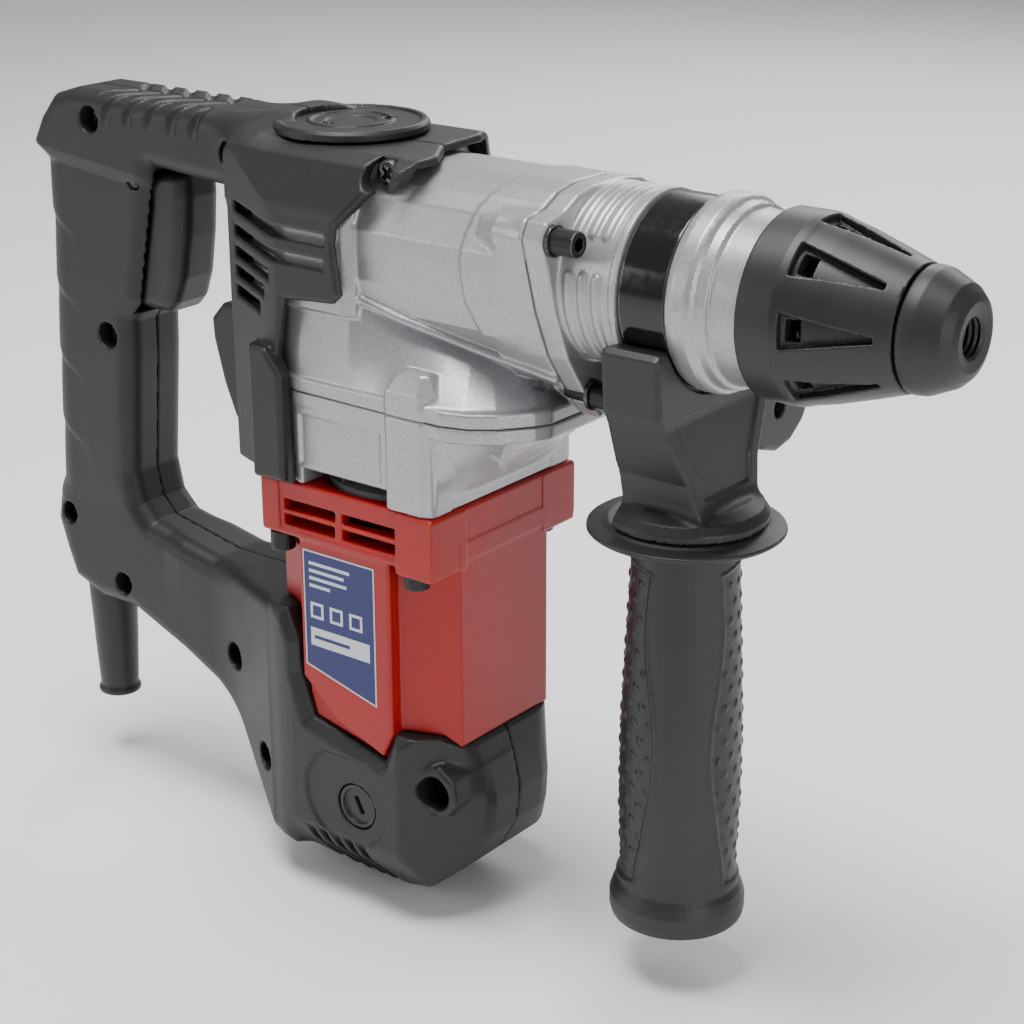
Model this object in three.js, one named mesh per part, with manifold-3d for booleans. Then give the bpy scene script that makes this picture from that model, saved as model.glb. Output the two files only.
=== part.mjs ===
import * as THREE from 'three';
import { mergeVertices } from 'three/addons/utils/BufferGeometryUtils.js';
import Module from 'manifold-3d';

const wasm = await Module();
wasm.setup();

// Rotary hammer with an upright motor. Millimetres. The spindle axis is X at y = 0, z = 0,
// +X points to the chuck, +Y to the tool's left, +Z up. The whole tool is shifted to its
// own floor and middle at the very end.

// ---- driving sizes -------------------------------------------------------------------
const FIT = 0.3;                 // clearance between pieces that touch
const WALL = 3;                  // wall of the handle shells
const MOTOR_X = -69;             // upright motor axis
const GEAR_CENTRES = 24;         // motor axis to crank axis, and to the countershaft
const CRANK_X = MOTOR_X - GEAR_CENTRES;
const COUNTER_X = MOTOR_X + GEAR_CENTRES;
const PINION_TEETH = 7;
const WHEEL_TEETH = 37;
const GEAR_MODULE = 2 * GEAR_CENTRES / (PINION_TEETH + WHEEL_TEETH);
const BEVEL_PINION_TEETH = 8;
const BEVEL_RING_TEETH = 39;
const BEVEL_RING_R = 21;         // pitch radius of the bevel ring on the hammer tube
const BEVEL_PINION_R = BEVEL_RING_R * BEVEL_PINION_TEETH / BEVEL_RING_TEETH;
const CRANK_THROW = 10;
const ROD_LENGTH = 38;
const TUBE_BORE = 13.7;          // hammer tube bore radius
const TUBE_R = 16.4;             // hammer tube outside radius
const BORE_R = 23.2;             // bore of the gearbox nose and of the barrel
const SPLIT_X = -2;              // barrel bolts on here
const BAND_X0 = 27.3;
const BAND_X1 = 43;
const BAND_R = 27;               // outside radius of the side handle's steel band
const BAND_T = 1.2;
const CHUCK_X = 66;              // rear edge of the locking sleeve
const CHUCK_R = 27.7;
const TIP_X = 125;               // front of the rubber dust cap
const SHANK_R = 5.1;             // bore for a 10 mm tool shank
const CASE_SPLIT_Z = -47;        // gearbox case stands on the fan case here
const CASE_FOOT_Z = -78;         // fan case stands on the motor housing here
const CASE_HALF = 36.7;          // half width of the two cases
const FLANGE_Z = -97;            // underside of the motor housing's flange
const HOUSING_FOOT_Z = -162;
const MOTOR_FOOT_Z = -226;       // lowest point of the tool
const STATOR_R = 30;
const STATOR_BORE = 18.6;
const ARMATURE_R = 18;
const CORE_Z = [-158, -108];     // iron of armature and stator
const BRUSH_Z = -188;
const COMM_R = 11;
const SHELL_HALF = 40;           // half width of the handle shells round the gearbox
const GRIP_HALF = 15.8;          // half width of the hand grip
const REAR_X = -240;
const DECK_Z = 30.5;             // deck round the grease cap
const CAP_TOP = 34;
const CAP_R = 25.3;
const CAP_X = -95.7;
const DECK_REAR = CAP_X - 2 * CAP_R + 34.3;  // the top bar rises from here, clear of the cap
const HANDLE_X = (BAND_X0 + BAND_X1) / 2;   // axis of the side handle
const GRIP_END_Z = -206.6;
const BOOT_R = 9.1;              // cable boot where it leaves the shells
const SIDE_Y = 42;               // outermost rib of each handle shell
const WING_Y = 62;               // outer end of the depth stop wing on the left
const FACETING = 0.26;           // pairs of facets kept for each nominal side of a round

// ---- shape helpers -------------------------------------------------------------------
function toSolid(geometry) {
  const plain = geometry.clone();
  plain.deleteAttribute('normal');
  plain.deleteAttribute('uv');
  const merged = mergeVertices(plain, 1e-4);
  const raw = merged.index.array;
  const pos = merged.attributes.position.array;
  const tris = [];
  for (let i = 0; i < raw.length; i += 3) {
    const [a, b, c] = [raw[i], raw[i + 1], raw[i + 2]];
    if (a !== b && b !== c && c !== a) tris.push(a, b, c);
  }
  let volume = 0;
  for (let i = 0; i < tris.length; i += 3) {
    const [a, b, c] = [tris[i] * 3, tris[i + 1] * 3, tris[i + 2] * 3];
    volume += pos[a] * (pos[b + 1] * pos[c + 2] - pos[b + 2] * pos[c + 1])
      - pos[a + 1] * (pos[b] * pos[c + 2] - pos[b + 2] * pos[c])
      + pos[a + 2] * (pos[b] * pos[c + 1] - pos[b + 1] * pos[c]);
  }
  if (volume < 0) {
    for (let i = 0; i < tris.length; i += 3) [tris[i], tris[i + 1]] = [tris[i + 1], tris[i]];
  }
  return new wasm.Manifold(new wasm.Mesh({
    numProp: 3,
    vertProperties: new Float32Array(pos),
    triVerts: new Uint32Array(tris),
  }));
}

function toGeometry(solid) {
  const mesh = solid.getMesh();
  const geometry = new THREE.BufferGeometry();
  const pos = new Float32Array(mesh.numVert * 3);
  for (let i = 0; i < mesh.numVert; i++) {
    for (let k = 0; k < 3; k++) pos[i * 3 + k] = mesh.vertProperties[i * mesh.numProp + k];
  }
  geometry.setAttribute('position', new THREE.BufferAttribute(pos, 3));
  geometry.setIndex(Array.from(mesh.triVerts));
  return geometry;
}

// stands a turned shape (drawn up the Y axis) along the named axis
function alongAxis(geometry, axis, centre) {
  if (axis === 'x') geometry.rotateZ(-Math.PI / 2);
  if (axis === 'z') geometry.rotateX(Math.PI / 2);
  geometry.translate(...centre);
  return geometry;
}

// turned solid; profile is a list of [along, radius], a ring when it never meets the axis
function turned(profile, axis = 'x', centre = [0, 0, 0], fine = 40) {
  const sides = fine > 8 ? Math.max(10, 2 * Math.round(fine * FACETING)) : fine;
  const points = profile.map(([a, r]) => new THREE.Vector2(r, a));
  const onAxis = profile[0][1] === 0 && profile[profile.length - 1][1] === 0;
  if (!onAxis) points.push(points[0].clone());
  return toSolid(alongAxis(new THREE.LatheGeometry(points, sides), axis, centre));
}

function rod(axis, centre, r, a, b, sides = 28) {
  return turned([[a, 0], [a, r], [b, r], [b, 0]], axis, centre, sides);
}

function ring(axis, centre, inner, outer, a, b, sides = 32) {
  return turned([[a, inner], [a, outer], [b, outer], [b, inner]], axis, centre, sides);
}

function block(x0, x1, y0, y1, z0, z1) {
  const geometry = new THREE.BoxGeometry(x1 - x0, y1 - y0, z1 - z0);
  geometry.translate((x0 + x1) / 2, (y0 + y1) / 2, (z0 + z1) / 2);
  return toSolid(geometry);
}

function outlineShape(outline, holes = []) {
  const shape = new THREE.Shape(outline.map(([a, b]) => new THREE.Vector2(a, b)));
  for (const hole of holes) {
    shape.holes.push(new THREE.Path(hole.map(([a, b]) => new THREE.Vector2(a, b))));
  }
  return shape;
}

function extruded(outline, from, to, bevel = 0, holes = [], steps = 2) {
  const geometry = new THREE.ExtrudeGeometry(outlineShape(outline, holes), {
    depth: to - from - 2 * bevel,
    bevelEnabled: bevel > 0,
    bevelThickness: bevel,
    bevelSize: bevel,
    bevelOffset: -bevel,
    bevelSegments: steps,
    curveSegments: 8,
  });
  geometry.translate(0, 0, from + bevel);
  return geometry;
}

// plate whose outline is drawn in side view (x, z), spanning y0..y1
function plateY(outline, y0, y1, bevel = 0, holes = [], steps = 2) {
  const geometry = extruded(outline, -y1, -y0, bevel, holes, steps);
  geometry.rotateX(Math.PI / 2);
  return toSolid(geometry);
}

// plate whose outline is drawn from above (x, y), spanning z0..z1
function plateZ(outline, z0, z1, bevel = 0, holes = [], steps = 2) {
  return toSolid(extruded(outline, z0, z1, bevel, holes, steps));
}

// plate whose outline is drawn from the front (y, z), spanning x0..x1
function plateX(outline, x0, x1, bevel = 0, holes = [], steps = 2) {
  const geometry = extruded(outline, x0, x1, bevel, holes, steps);
  geometry.rotateX(Math.PI / 2);
  geometry.rotateZ(Math.PI / 2);
  return toSolid(geometry);
}

// skin through rings of 3-D points that all have the same count, closed by flat fans
function loft(rings) {
  const count = rings[0].length;
  const pos = rings.flat(2);
  const index = [];
  for (let k = 0; k + 1 < rings.length; k++) {
    for (let i = 0; i < count; i++) {
      const a = k * count + i;
      const b = k * count + (i + 1) % count;
      index.push(a, b, b + count, a, b + count, a + count);
    }
  }
  const last = (rings.length - 1) * count;
  for (let i = 1; i + 1 < count; i++) {
    index.push(0, i + 1, i);
    index.push(last, last + i, last + i + 1);
  }
  const geometry = new THREE.BufferGeometry();
  geometry.setAttribute('position', new THREE.BufferAttribute(new Float32Array(pos), 3));
  geometry.setIndex(index);
  return toSolid(geometry);
}

function join(...solids) {
  return solids.reduce((a, b) => a.add(b));
}

function cut(solid, ...tools) {
  return tools.reduce((a, b) => a.subtract(b), solid);
}

function mirrored(points) {
  return [...points, ...points.slice().reverse().map(([a, b]) => [a, -b])];
}

const group = new THREE.Group();

// the whole tool stands on its lowest point, centred under its own box
const SHIFT = [-(REAR_X + TIP_X) / 2, -(WING_Y - SIDE_Y) / 2, -MOTOR_FOOT_Z];

function piece(name, solid, colour, roughness, metalness) {
  const material = new THREE.MeshStandardMaterial({ color: colour, roughness, metalness });
  const geometry = toGeometry(solid);
  geometry.translate(...SHIFT);
  const mesh = new THREE.Mesh(geometry, material);
  mesh.name = name;
  group.add(mesh);
}

const BLACK = [0x3a3a3d, 0.6, 0];
const SILVER = [0xc4c5c8, 0.45, 0.6];
const RED = [0xc23a34, 0.5, 0];
const STEEL = [0x9a9da2, 0.35, 1];
const DARK_STEEL = [0x2c2d30, 0.4, 0.9];
const COPPER = [0xb06a3c, 0.45, 0.8];
const IRON = [0x55585c, 0.5, 0.9];
const GREY = [0x8b8f90, 0.5, 0];
const RUBBER = [0x2b2b2d, 0.8, 0];
const CARBON = [0x242426, 0.7, 0];
const BRASS = [0xb89a55, 0.35, 1];

// ---- motor housing -------------------------------------------------------------------
// plan of the red housing below its flange; corners step in so the flange screws clear it
function housingPlan(grow = 0) {
  return mirrored([
    [-34.3 + grow, 22.8 + grow / 2],
    [-53 + grow, 31 + grow],
    [-53 + grow, 36 + grow],
    [-91 - grow, 36 + grow],
    [-92 - grow, 31.5 + grow / 2],
    [-108 - grow, 25],
  ]);
}

// side view of the housing: its foot dips in the middle of each side and climbs to the rear
function housingSide(grow = 0) {
  return [
    [-115, -78], [-20, -78], [-20, -161.5 - grow], [-34, -161.5 - grow],
    [-40, -157.5 - grow], [-53, -157 - grow], [-57.5 + grow, -167.5 - grow],
    [-88.5 - grow, -161 - grow], [-93.5 - grow, -146], [-94 - grow, -134.5 - grow],
    [-99 - grow, -124 - grow], [-115, -124 - grow],
  ];
}

function motorHousing() {
  const flange = plateZ(mirrored([[-34.3, 37], [-106, 37], [-111, 32]]), FLANGE_Z, CASE_FOOT_Z - FIT);
  const body = plateZ(housingPlan(), HOUSING_FOOT_Z - 8, FLANGE_Z + 1)
    .intersect(plateY(housingSide(), -50, 50));
  const bore = rod('z', [MOTOR_X, 0, 0], STATOR_R + 2 * FIT, HOUSING_FOOT_Z - 12, -90, 48);
  const fanRoom = rod('z', [MOTOR_X, 0, 0], 32.4, -90.5, -70, 40);
  const tools = [bore, fanRoom];
  // four air slots on each side, two by two
  for (const side of [-1, 1]) {
    for (const [x0, x1] of [[-97, -75], [-72, -49.5]]) {
      for (const z of [-86.3, -91.6]) {
        const ys = side < 0 ? [-40, -27] : [27, 40];
        tools.push(block(x0, x1, ...ys, z - 1.7, z + 1.7));
      }
    }
  }
  for (const [x, y] of FLANGE_SCREWS) tools.push(rod('z', [x, y, 0], 2.6, FLANGE_Z - 1, -70, 16));
  return cut(join(flange, body), ...tools);
}

const FLANGE_SCREWS = [[-44, -32.5], [-44, 32.5], [-101.5, -32.5], [-101.5, 32.5]];

function flangeScrew([x, y]) {
  const head = rod('z', [x, y, 0], 4.1, FLANGE_Z - FIT - 6.5, FLANGE_Z - FIT, 20);
  const shank = rod('z', [x, y, 0], 2.3, FLANGE_Z - 1, -64, 16);
  const socket = rod('z', [x, y, 0], 2.1, FLANGE_Z - 8, FLANGE_Z - 4, 6);
  return cut(join(head, shank), socket);
}

// ---- fan case and gearbox case -------------------------------------------------------
// lip where the two cases meet: straight sides and a bowed front
function lipPlan(grow = 0) {
  return mirrored([
    [-5 + grow, 14], [-7.5 + grow, 19.5], [-14.5 + grow / 2, 28.5 + grow / 2],
    [-22 + grow / 2, 34 + grow / 2], [-31, CASE_HALF + grow], [-104, CASE_HALF - 0.7 + grow],
    [-115, 29], [-118.5, 20],
  ]);
}

function cornerPost(z0, z1, side) {
  const plan = [[-52, 28], [-52, 37.1], [-38.5, 37.1], [-34.8, 33.5], [-34.8, 28]];
  return plateZ(plan.map(([x, y]) => [x, y * side]), z0, z1);
}

function fanCase() {
  const plan = mirrored([[-35, CASE_HALF - 0.7], [-104, CASE_HALF - 0.7], [-115, 29], [-118.5, 20]]);
  const body = plateZ(plan, CASE_FOOT_Z, CASE_SPLIT_Z - 5);
  const lip = plateZ(lipPlan(), CASE_SPLIT_Z - 4.6, CASE_SPLIT_Z);
  // sloping shelf under the bowed lip
  const under = loft([
    [[-36, -34, -72], [-36, 34, -72], [-34.9, 34, -72], [-34.9, -34, -72]],
    [[-36, -34, -51], [-36, 34, -51], [-8, 15, -51], [-8, -15, -51]],
  ]);
  const posts = [-1, 1].map((side) => cornerPost(CASE_FOOT_Z, CASE_SPLIT_Z - FIT, side));
  const fanRoom = rod('z', [MOTOR_X, 0, 0], 32.4, CASE_FOOT_Z - 4, -59, 40);
  const bearingSeat = rod('z', [MOTOR_X, 0, 0], 11 + FIT, -60, -49, 32);
  const neck = rod('z', [MOTOR_X, 0, 0], 6, -50, -40, 20);
  const stubs = [CRANK_X, COUNTER_X].map((x) => rod('z', [x, 0, 0], 5 + FIT, -56, -40, 20));
  const tools = [fanRoom, bearingSeat, neck, ...stubs];
  // open notch on each side, over the fan
  for (const side of [-1, 1]) {
    const ys = side < 0 ? [-42, -20] : [20, 42];
    tools.push(block(-90, -52.3, ...ys, CASE_FOOT_Z - 3, -74.4));
  }
  for (const [x, y] of FLANGE_SCREWS) tools.push(rod('z', [x, y, 0], 2.6, -84, -62, 16));
  return cut(join(body, lip, under, ...posts), ...tools);
}

// front view of the gearbox nose where the barrel bolts on
const NOSE_FRONT = mirrored([
  [27, 8], [25.5, 16], [21.8, 23], [20, 31.5], [14.8, 34.3], [4, 31], [-8, 27.5],
  [-23, 21], [-40, 9], [-45, 4],
]).map(([z, y]) => [y, z]);

const NOSE_REAR = mirrored([
  [27, 8], [25.5, 16], [22.8, 22], [18.5, 27], [8, 31.8], [2, 32], [-8, 31.5],
  [-18, 28], [-33, 14], [-36, 6],
]).map(([z, y]) => [y, z]);

function gearboxCase() {
  const section = (x, points) => points.map(([y, z]) => [x, y, z]);
  const nose = loft([section(-74, NOSE_REAR), section(-14, NOSE_REAR), section(SPLIT_X, NOSE_FRONT)]);
  const rear = plateZ(mirrored([[-68, 31.5], [-72, 35], [-104, 35], [-115, 29], [-118.5, 20]]), -20, 27, 0);
  const lip = plateZ(lipPlan(), CASE_SPLIT_Z + FIT, CASE_SPLIT_Z + 5);
  // skirt that spreads from the nose down to the lip
  const top = [[-52, 6], [-54, 12], [-60, 20], [-66, 26], [-72, 29], [-104, 31.5], [-114, 28], [-117.5, 20]];
  const foot = [[-8, 12], [-10.5, 18], [-17, 26], [-25, 32], [-35, 35.4], [-104, 34.6], [-114, 29], [-118, 20]];
  const skirt = loft([
    mirrored(foot).map(([x, y]) => [x, y, CASE_SPLIT_Z + 4.6]),
    mirrored(top).map(([x, y]) => [x, y, -12]),
  ]);
  const posts = [-1, 1].map((side) => join(
    cornerPost(CASE_SPLIT_Z + FIT, -38, side),
    loft([
      [[-52, 26, -39], [-52, 37.1, -39], [-38.5, 37.1, -39], [-34.8, 33.5, -39], [-34.8, 26, -39]],
      [[-48, 26, -33], [-48, 34, -33], [-40, 34, -33], [-37, 31, -33], [-37, 26, -33]],
    ].map((ring3) => ring3.map(([x, y, z]) => [x, y * side, z]))),
  ));
  const bore = rod('x', [0, 0, 0], BORE_R, -66, 4, 40);
  const crankRoom = rod('z', [CRANK_X, 0, 0], 19.2, -25, 24, 32);
  const rodRoom = block(CRANK_X, -60, -16, 16, -17, 17);
  const gearRoom = join(
    rod('z', [CRANK_X, 0, 0], 21.9, -50, -35.5, 40),
    rod('z', [COUNTER_X, 0, 0], 21.9, -50, -35.5, 40),
    block(CRANK_X, COUNTER_X, -9, 9, -50, -35.5),
  );
  const pinionRoom = rod('z', [MOTOR_X, 0, 0], 8, -50, -30, 20);
  const bearings = [CRANK_X, COUNTER_X].map((x) => rod('z', [x, 0, 0], 11 + FIT, -38, -25.2, 28));
  const shafts = [CRANK_X, COUNTER_X].map((x) => rod('z', [x, 0, 0], 8, -30, -14, 20));
  const capHole = rod('z', [CAP_X, 0, 0], 17.5, 20, 30, 32);
  const screws = BARREL_SCREWS.map(([y, z]) => rod('x', [0, y, z], 2.6, -14, 2, 14));
  const selector = rod('y', [SELECTOR_X, 0, 0], 6 + 3 * FIT, 20, 40, 20);
  return cut(
    join(nose, rear, lip, skirt, ...posts),
    bore, crankRoom, rodRoom, gearRoom, pinionRoom, ...bearings, ...shafts, capHole, ...screws, selector,
  );
}

const BARREL_SCREWS = [[-29.2, 14.8], [29.2, 14.8], [-9.2, -36.2], [9.2, -36.2]];
const SELECTOR_X = -38;

// ---- front barrel --------------------------------------------------------------------
function frontBarrel() {
  const flange = plateX(NOSE_FRONT, SPLIT_X + FIT, 6);
  const outside = [
    [0, 26.4], [24, 26.6], [24, 27.6], [26.9, 27.6],
    [26.9, BAND_R - BAND_T - FIT], [43.4, BAND_R - BAND_T - FIT], [43.4, 28.2], [46, 29.2],
    [52, 29.2], [54, 27.4], [56.5, 27], [57, 25.5], [70, 25.3],
  ];
  const inside = [[70, 16.5], [56, 16.5], [56, 21.3], [46, 21.3], [46, BORE_R], [0, BORE_R]];
  const barrel = turned([...outside, ...inside], 'x', [0, 0, 0], 48);
  const bores = [rod('x', [0, 0, 0], BORE_R, SPLIT_X - 2, 7, 48)];
  const holes = BARREL_SCREWS.map(([y, z]) => rod('x', [0, y, z], 2.6, -8, 9, 14));
  // the flange is thinned beside the lower screws so their heads sit clear of the barrel
  const seats = BARREL_SCREWS.map(([y, z]) => rod('x', [0, y, z], 5.4, 6, 24, 20));
  return cut(join(flange, barrel), ...bores, ...holes, ...seats);
}

function barrelScrew([y, z]) {
  const washer = rod('x', [0, y, z], 4.8, 6 + FIT, 7.4, 20);
  const head = rod('x', [0, y, z], 3.9, 7, 15.5, 20);
  const shank = rod('x', [0, y, z], 2.3, -12, 7.2, 14);
  const socket = rod('x', [0, y, z], 2.2, 12.5, 18, 6);
  return cut(join(washer, head, shank), socket);
}

// ---- handle shells -------------------------------------------------------------------
// side view of the D handle; the hole is the hand opening
const HANDLE_OUTLINE = [
  [DECK_REAR, 30], [-150, 33], [-213, 33], [-222, 30], [-228.5, 22], [-233, 14], [-232, 9],
  [-232.5, -20], [-234.3, -60], [-236, -100], [-236.5, -112], [-239.5, -117], [REAR_X, -132],
  [-233, -142], [-228, -152], [-214, -157], [-197, -157], [-172, -167], [-150, -178], [-138, -186],
  [-128, -200], [-112, -212], [-100, -214], [-98, -140], [-98, -30],
];
const HAND_OPENING = [
  [-124.5, -6], [-129, 3], [-138, 7.5], [-156, 8.5], [-174, 9.8], [-184.5, -40], [-190, -47],
  [-190.5, -60], [-194.5, -104], [-192, -115], [-186, -121], [-112, -135], [-112, -79], [-124.5, -79],
];

function shellBody() {
  const handle = plateY(HANDLE_OUTLINE, -GRIP_HALF, GRIP_HALF, 6.5, [HAND_OPENING], 2);
  const deck = plateY([
    [-52, 24], [-58, 30.5], [-118, 30.5], [-126, 24], [-126, -14], [-124.5, -78], [-90, -78],
    [-92, -55], [-101, -47], [-93, -17], [-72, -15.5], [-67.5, -12], [-70, 4], [-69, 9], [-61, 19],
  ], -SHELL_HALF, SHELL_HALF, 4, [], 2);
  // chamfered ribs down the lower column
  const ribs = [-1, 1].map((side) => loft([
    [[-108, 38 * side, -30], [-93, 38 * side, -30], [-84.5, 38 * side, -77], [-108, 38 * side, -77]],
    [[-105.5, SIDE_Y * side, -34], [-97, SIDE_Y * side, -34], [-92, SIDE_Y * side, -75],
      [-105.5, SIDE_Y * side, -75]],
  ]));
  // fin behind the column, inside the hand opening
  const fin = plateY([
    [-120, -33], [-147, -33], [-152.5, -39], [-152, -46], [-148, -61], [-143, -73], [-120, -80],
  ], -11, 11, 2, [], 1);
  // the motor end is chamfered below, towards its foot
  const belly = plateX([
    [-39, -110], [-38.6, -200], [-33, -208.5], [-15, MOTOR_FOOT_Z - 1], [15, MOTOR_FOOT_Z - 1],
    [33, -208.5], [38.6, -200], [39, -110],
  ], -160, -20);
  const flare = loft([
    [[-146, -15.8, -179], [-146, 15.8, -179], [-146, 15.8, -131], [-146, -15.8, -131]],
    [[-99, -37.5, -211], [-99, 37.5, -211], [-99, 37.5, -123], [-99, -37.5, -123]],
  ]);
  const foot = plateY([
    [-34, -140], [-34, -166], [-27, -183], [-29.5, -195], [-37, -208], [-49, -218],
    [-62, -224.5], [-72, MOTOR_FOOT_Z], [-88, -225], [-104, -217], [-104, -124],
  ], -38.5, 38.5, 9, [], 2);
  return join(handle, deck, ...ribs, fin, flare.intersect(belly), foot.intersect(belly));
}

// everything hollowed out of the joined shells before they are split
function shellHollows() {
  const tools = [];
  // room for the two cases and the nose
  tools.push(plateZ(mirrored([[-60, 37], [-104, 37], [-115.3, 29.4], [-119, 20]]), -79, 27.4));
  tools.push(block(-90.2, -30, -60, 60, -80, -15.8));
  tools.push(block(-60.5, -30, -37, 37, -79, 27.4));
  // flange and body of the motor housing
  tools.push(plateZ(mirrored([[-33, 37.4], [-106.2, 37.4], [-111.4, 32.2]]), FLANGE_Z - FIT, -77.9));
  tools.push(plateY(housingSide(FIT), -60, 60));
  // motor end: room for the commutator, brushes and the lower bearing
  tools.push(rod('z', [MOTOR_X, 0, 0], 29, -205, -150, 40));
  tools.push(rod('z', [MOTOR_X, 0, 0], STATOR_R + 2 * FIT, -160, -120, 48));
  tools.push(rod('z', [MOTOR_X, 0, 0], 9.5 + FIT, -218, -200, 28));
  // hand grip, top bar and lower bar are hollow for the switch and the leads
  tools.push(plateY([
    [-229, 6], [-229.5, -30], [-232.8, -108], [-198.5, -108], [-194.5, -52], [-188, -38], [-179, 4],
  ], -GRIP_HALF + WALL, GRIP_HALF - WALL));
  tools.push(plateY([[-220, 29], [-128, 29], [-128, 13.5], [-226, 13.5]], -11.5, 11.5));
  tools.push(block(-225, -183, -11.5, 11.5, 4, 16));
  tools.push(plateY([
    [-230, -106], [-233, -128], [-222, -148], [-200, -152], [-170, -162], [-146, -174], [-104, -200],
    [-104, -150], [-124, -142], [-186, -127], [-198.5, -118], [-198.5, -106],
  ], -11.5, 11.5));
  tools.push(block(-106, -90, -14, 14, -198, -172));
  // trigger mouth
  tools.push(plateY([
    [-168, 8.6], [-188.2, 8.6], [-188.2, -1.5], [-183.2, -4], [-193, -44.5], [-160, -44.5],
  ], -11.9, 11.9));
  tools.push(rod('y', TRIGGER_PIVOT, 2.4 + FIT, -14.2, 14.2, 20));
  // grease cap and its rim seat
  tools.push(rod('z', [CAP_X, 0, 0], 17.6, 26, 40, 40));
  // brush caps
  tools.push(rod('y', [MOTOR_X, 0, BRUSH_Z], 8 + FIT, -45, 45, 28));
  // cable boot seat
  tools.push(turned([
    [-170, 0], [-170, BOOT_R + FIT], [-154.5, BOOT_R + FIT], [-154.5, BOOT_R + 1 + FIT],
    [-149, BOOT_R + 1 + FIT], [-149, 0],
  ], 'z', [-223, 0, 0], 28));
  // cooling grooves under the foot
  for (const x of [-100, -92, -84, -76, -68]) {
    tools.push(plateY([[x - 2.2, -240], [x - 1.4, -221], [x + 1.4, -221], [x + 2.2, -240]], -26, 26));
  }
  // finger grooves across the top bar
  for (const x of [-194, -180, -166, -152]) {
    tools.push(plateY([[x - 5, 34], [x - 3, 31.6], [x + 3, 31.6], [x + 5, 34]], -20, 20));
  }
  // air slots round each rear corner and their shorter mates below
  for (const side of [-1, 1]) {
    const spans = [[-120, -73, 4.6], [-120, -74, -3.2], [-120, -98, -10.2], [-120, -101, -16.6], [-120, -104, -23]];
    for (const [x0, x1, z] of spans) {
      const ys = side < 0 ? [-45, -33] : [33, 45];
      tools.push(block(x0 + 8, x1, ...ys, z - 1.7, z + 1.7));
    }
  }
  // deep wells for the screws that clamp the shells together, right side only
  for (const [x, z, r] of SHELL_SCREWS) {
    tools.push(rod('y', [x, 0, z], r, -45, -8, 20));
  }
  return tools;
}

const SHELL_SCREWS = [
  [-201.7, 23.5, 4.6], [-133.9, 19.7, 4.9], [-201, -53, 4.6], [-228.2, -126.1, 4.2],
  [-200.1, -147.4, 4.2], [-141.1, -159.4, 4.9], [-115.9, -185.8, 4.9],
];

// the two shells meet on the mid plane
function handleShells() {
  const whole = cut(shellBody(), ...shellHollows());
  const right = whole.intersect(block(-300, 200, -80, -FIT / 2, -300, 100));
  const left = whole.intersect(block(-300, 200, FIT / 2, 80, -300, 100));
  return [right, left];
}

function greaseCap() {
  const disc = turned([
    [21, 0], [21, 17], [DECK_Z + FIT, 17], [DECK_Z + FIT, CAP_R], [CAP_TOP - 0.8, CAP_R],
    [CAP_TOP, CAP_R - 0.8], [CAP_TOP, 9], [CAP_TOP - 0.8, 8], [CAP_TOP - 0.8, 0],
  ], 'z', [CAP_X, 0, 0], 48);
  const cup = rod('z', [CAP_X, 0, 0], 13, 10, 28.5, 32);
  const pins = [0, 1, 2].map((k) => {
    const turn = Math.PI * 2 / 3 * k + 0.6;
    return rod('z', [CAP_X + 12 * Math.cos(turn), 12 * Math.sin(turn), 0], 1.7, 31.5, 36, 12);
  });
  return cut(disc, cup, ...pins);
}

function cableBoot() {
  return turned([
    [-201.8, 5], [-201.8, 7.6], [-201.2, 8.1], [-199.8, 8.1], [-198.6, 7.2], [-170.5, 8.6], [-156, BOOT_R],
    [-154.2, BOOT_R], [-154.2, BOOT_R + 1], [-150.3, BOOT_R + 1], [-150.3, 5],
  ], 'z', [-223, 0, 0], 28);
}

// the trigger swings on two pips in the shells
const TRIGGER_PIVOT = [-183, 0, 4];

function trigger() {
  const outline = [
    [-164.5, 7.6], [-186.5, 7.6], [-187, 0.5], [-181.5, -3], [-190.5, -41], [-186, -42.2], [-175, -41.8], [-171.5, -38],
    [-168, -29], [-165.2, -14], [-163.8, 0],
  ];
  const paddle = plateY(outline, -11.3, 11.3, 3, [], 2);
  return join(paddle, rod('y', TRIGGER_PIVOT, 2.4, -13.9, 13.9, 20));
}

// ---- motor ---------------------------------------------------------------------------
// gear seen along its axis: straight-sided pointed teeth, narrow enough to run with backlash
function gearOutline(teeth, pitch, addendum, dedendum, turn = 0) {
  const half = Math.PI / teeth;
  return Array.from({ length: 2 * teeth }, (_, k) => {
    const r = k % 2 === 0 ? pitch + addendum : pitch - dedendum;
    return [r * Math.cos(turn + k * half), r * Math.sin(turn + k * half)];
  });
}

const PINION_PITCH = GEAR_MODULE * PINION_TEETH / 2;
const WHEEL_PITCH = GEAR_MODULE * WHEEL_TEETH / 2;

function at(points, x, y) {
  return points.map(([a, b]) => [a + x, b + y]);
}

function armatureShaft() {
  const axis = [MOTOR_X, 0, 0];
  const shaft = turned([
    [-216.5, 0], [-216.5, 3.9], [-202, 3.9], [-202, 5], [-58.5, 5], [-58.5, 3.9], [-47, 3.9],
    [-47, 2.6], [-31.5, 2.6], [-31.5, 0],
  ], 'z', axis, 24);
  const teeth = gearOutline(PINION_TEETH, PINION_PITCH, 0.7, 1.2, Math.PI / PINION_TEETH);
  return join(shaft, plateZ(at(teeth, MOTOR_X, 0), -46.4, -34.5));
}

function armatureCore() {
  const core = ring('z', [MOTOR_X, 0, 0], 5.2, ARMATURE_R, ...CORE_Z, 48);
  return cut(core, ...slotAngles().map((a) => rod('z', slotCentre(a), 2.1, -170, -100, 8)));
}

function slotAngles() {
  return Array.from({ length: 8 }, (_, k) => k * Math.PI / 4 + 0.1);
}

function slotCentre(angle) {
  return [MOTOR_X + 13.8 * Math.cos(angle), 13.8 * Math.sin(angle), 0];
}

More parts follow.
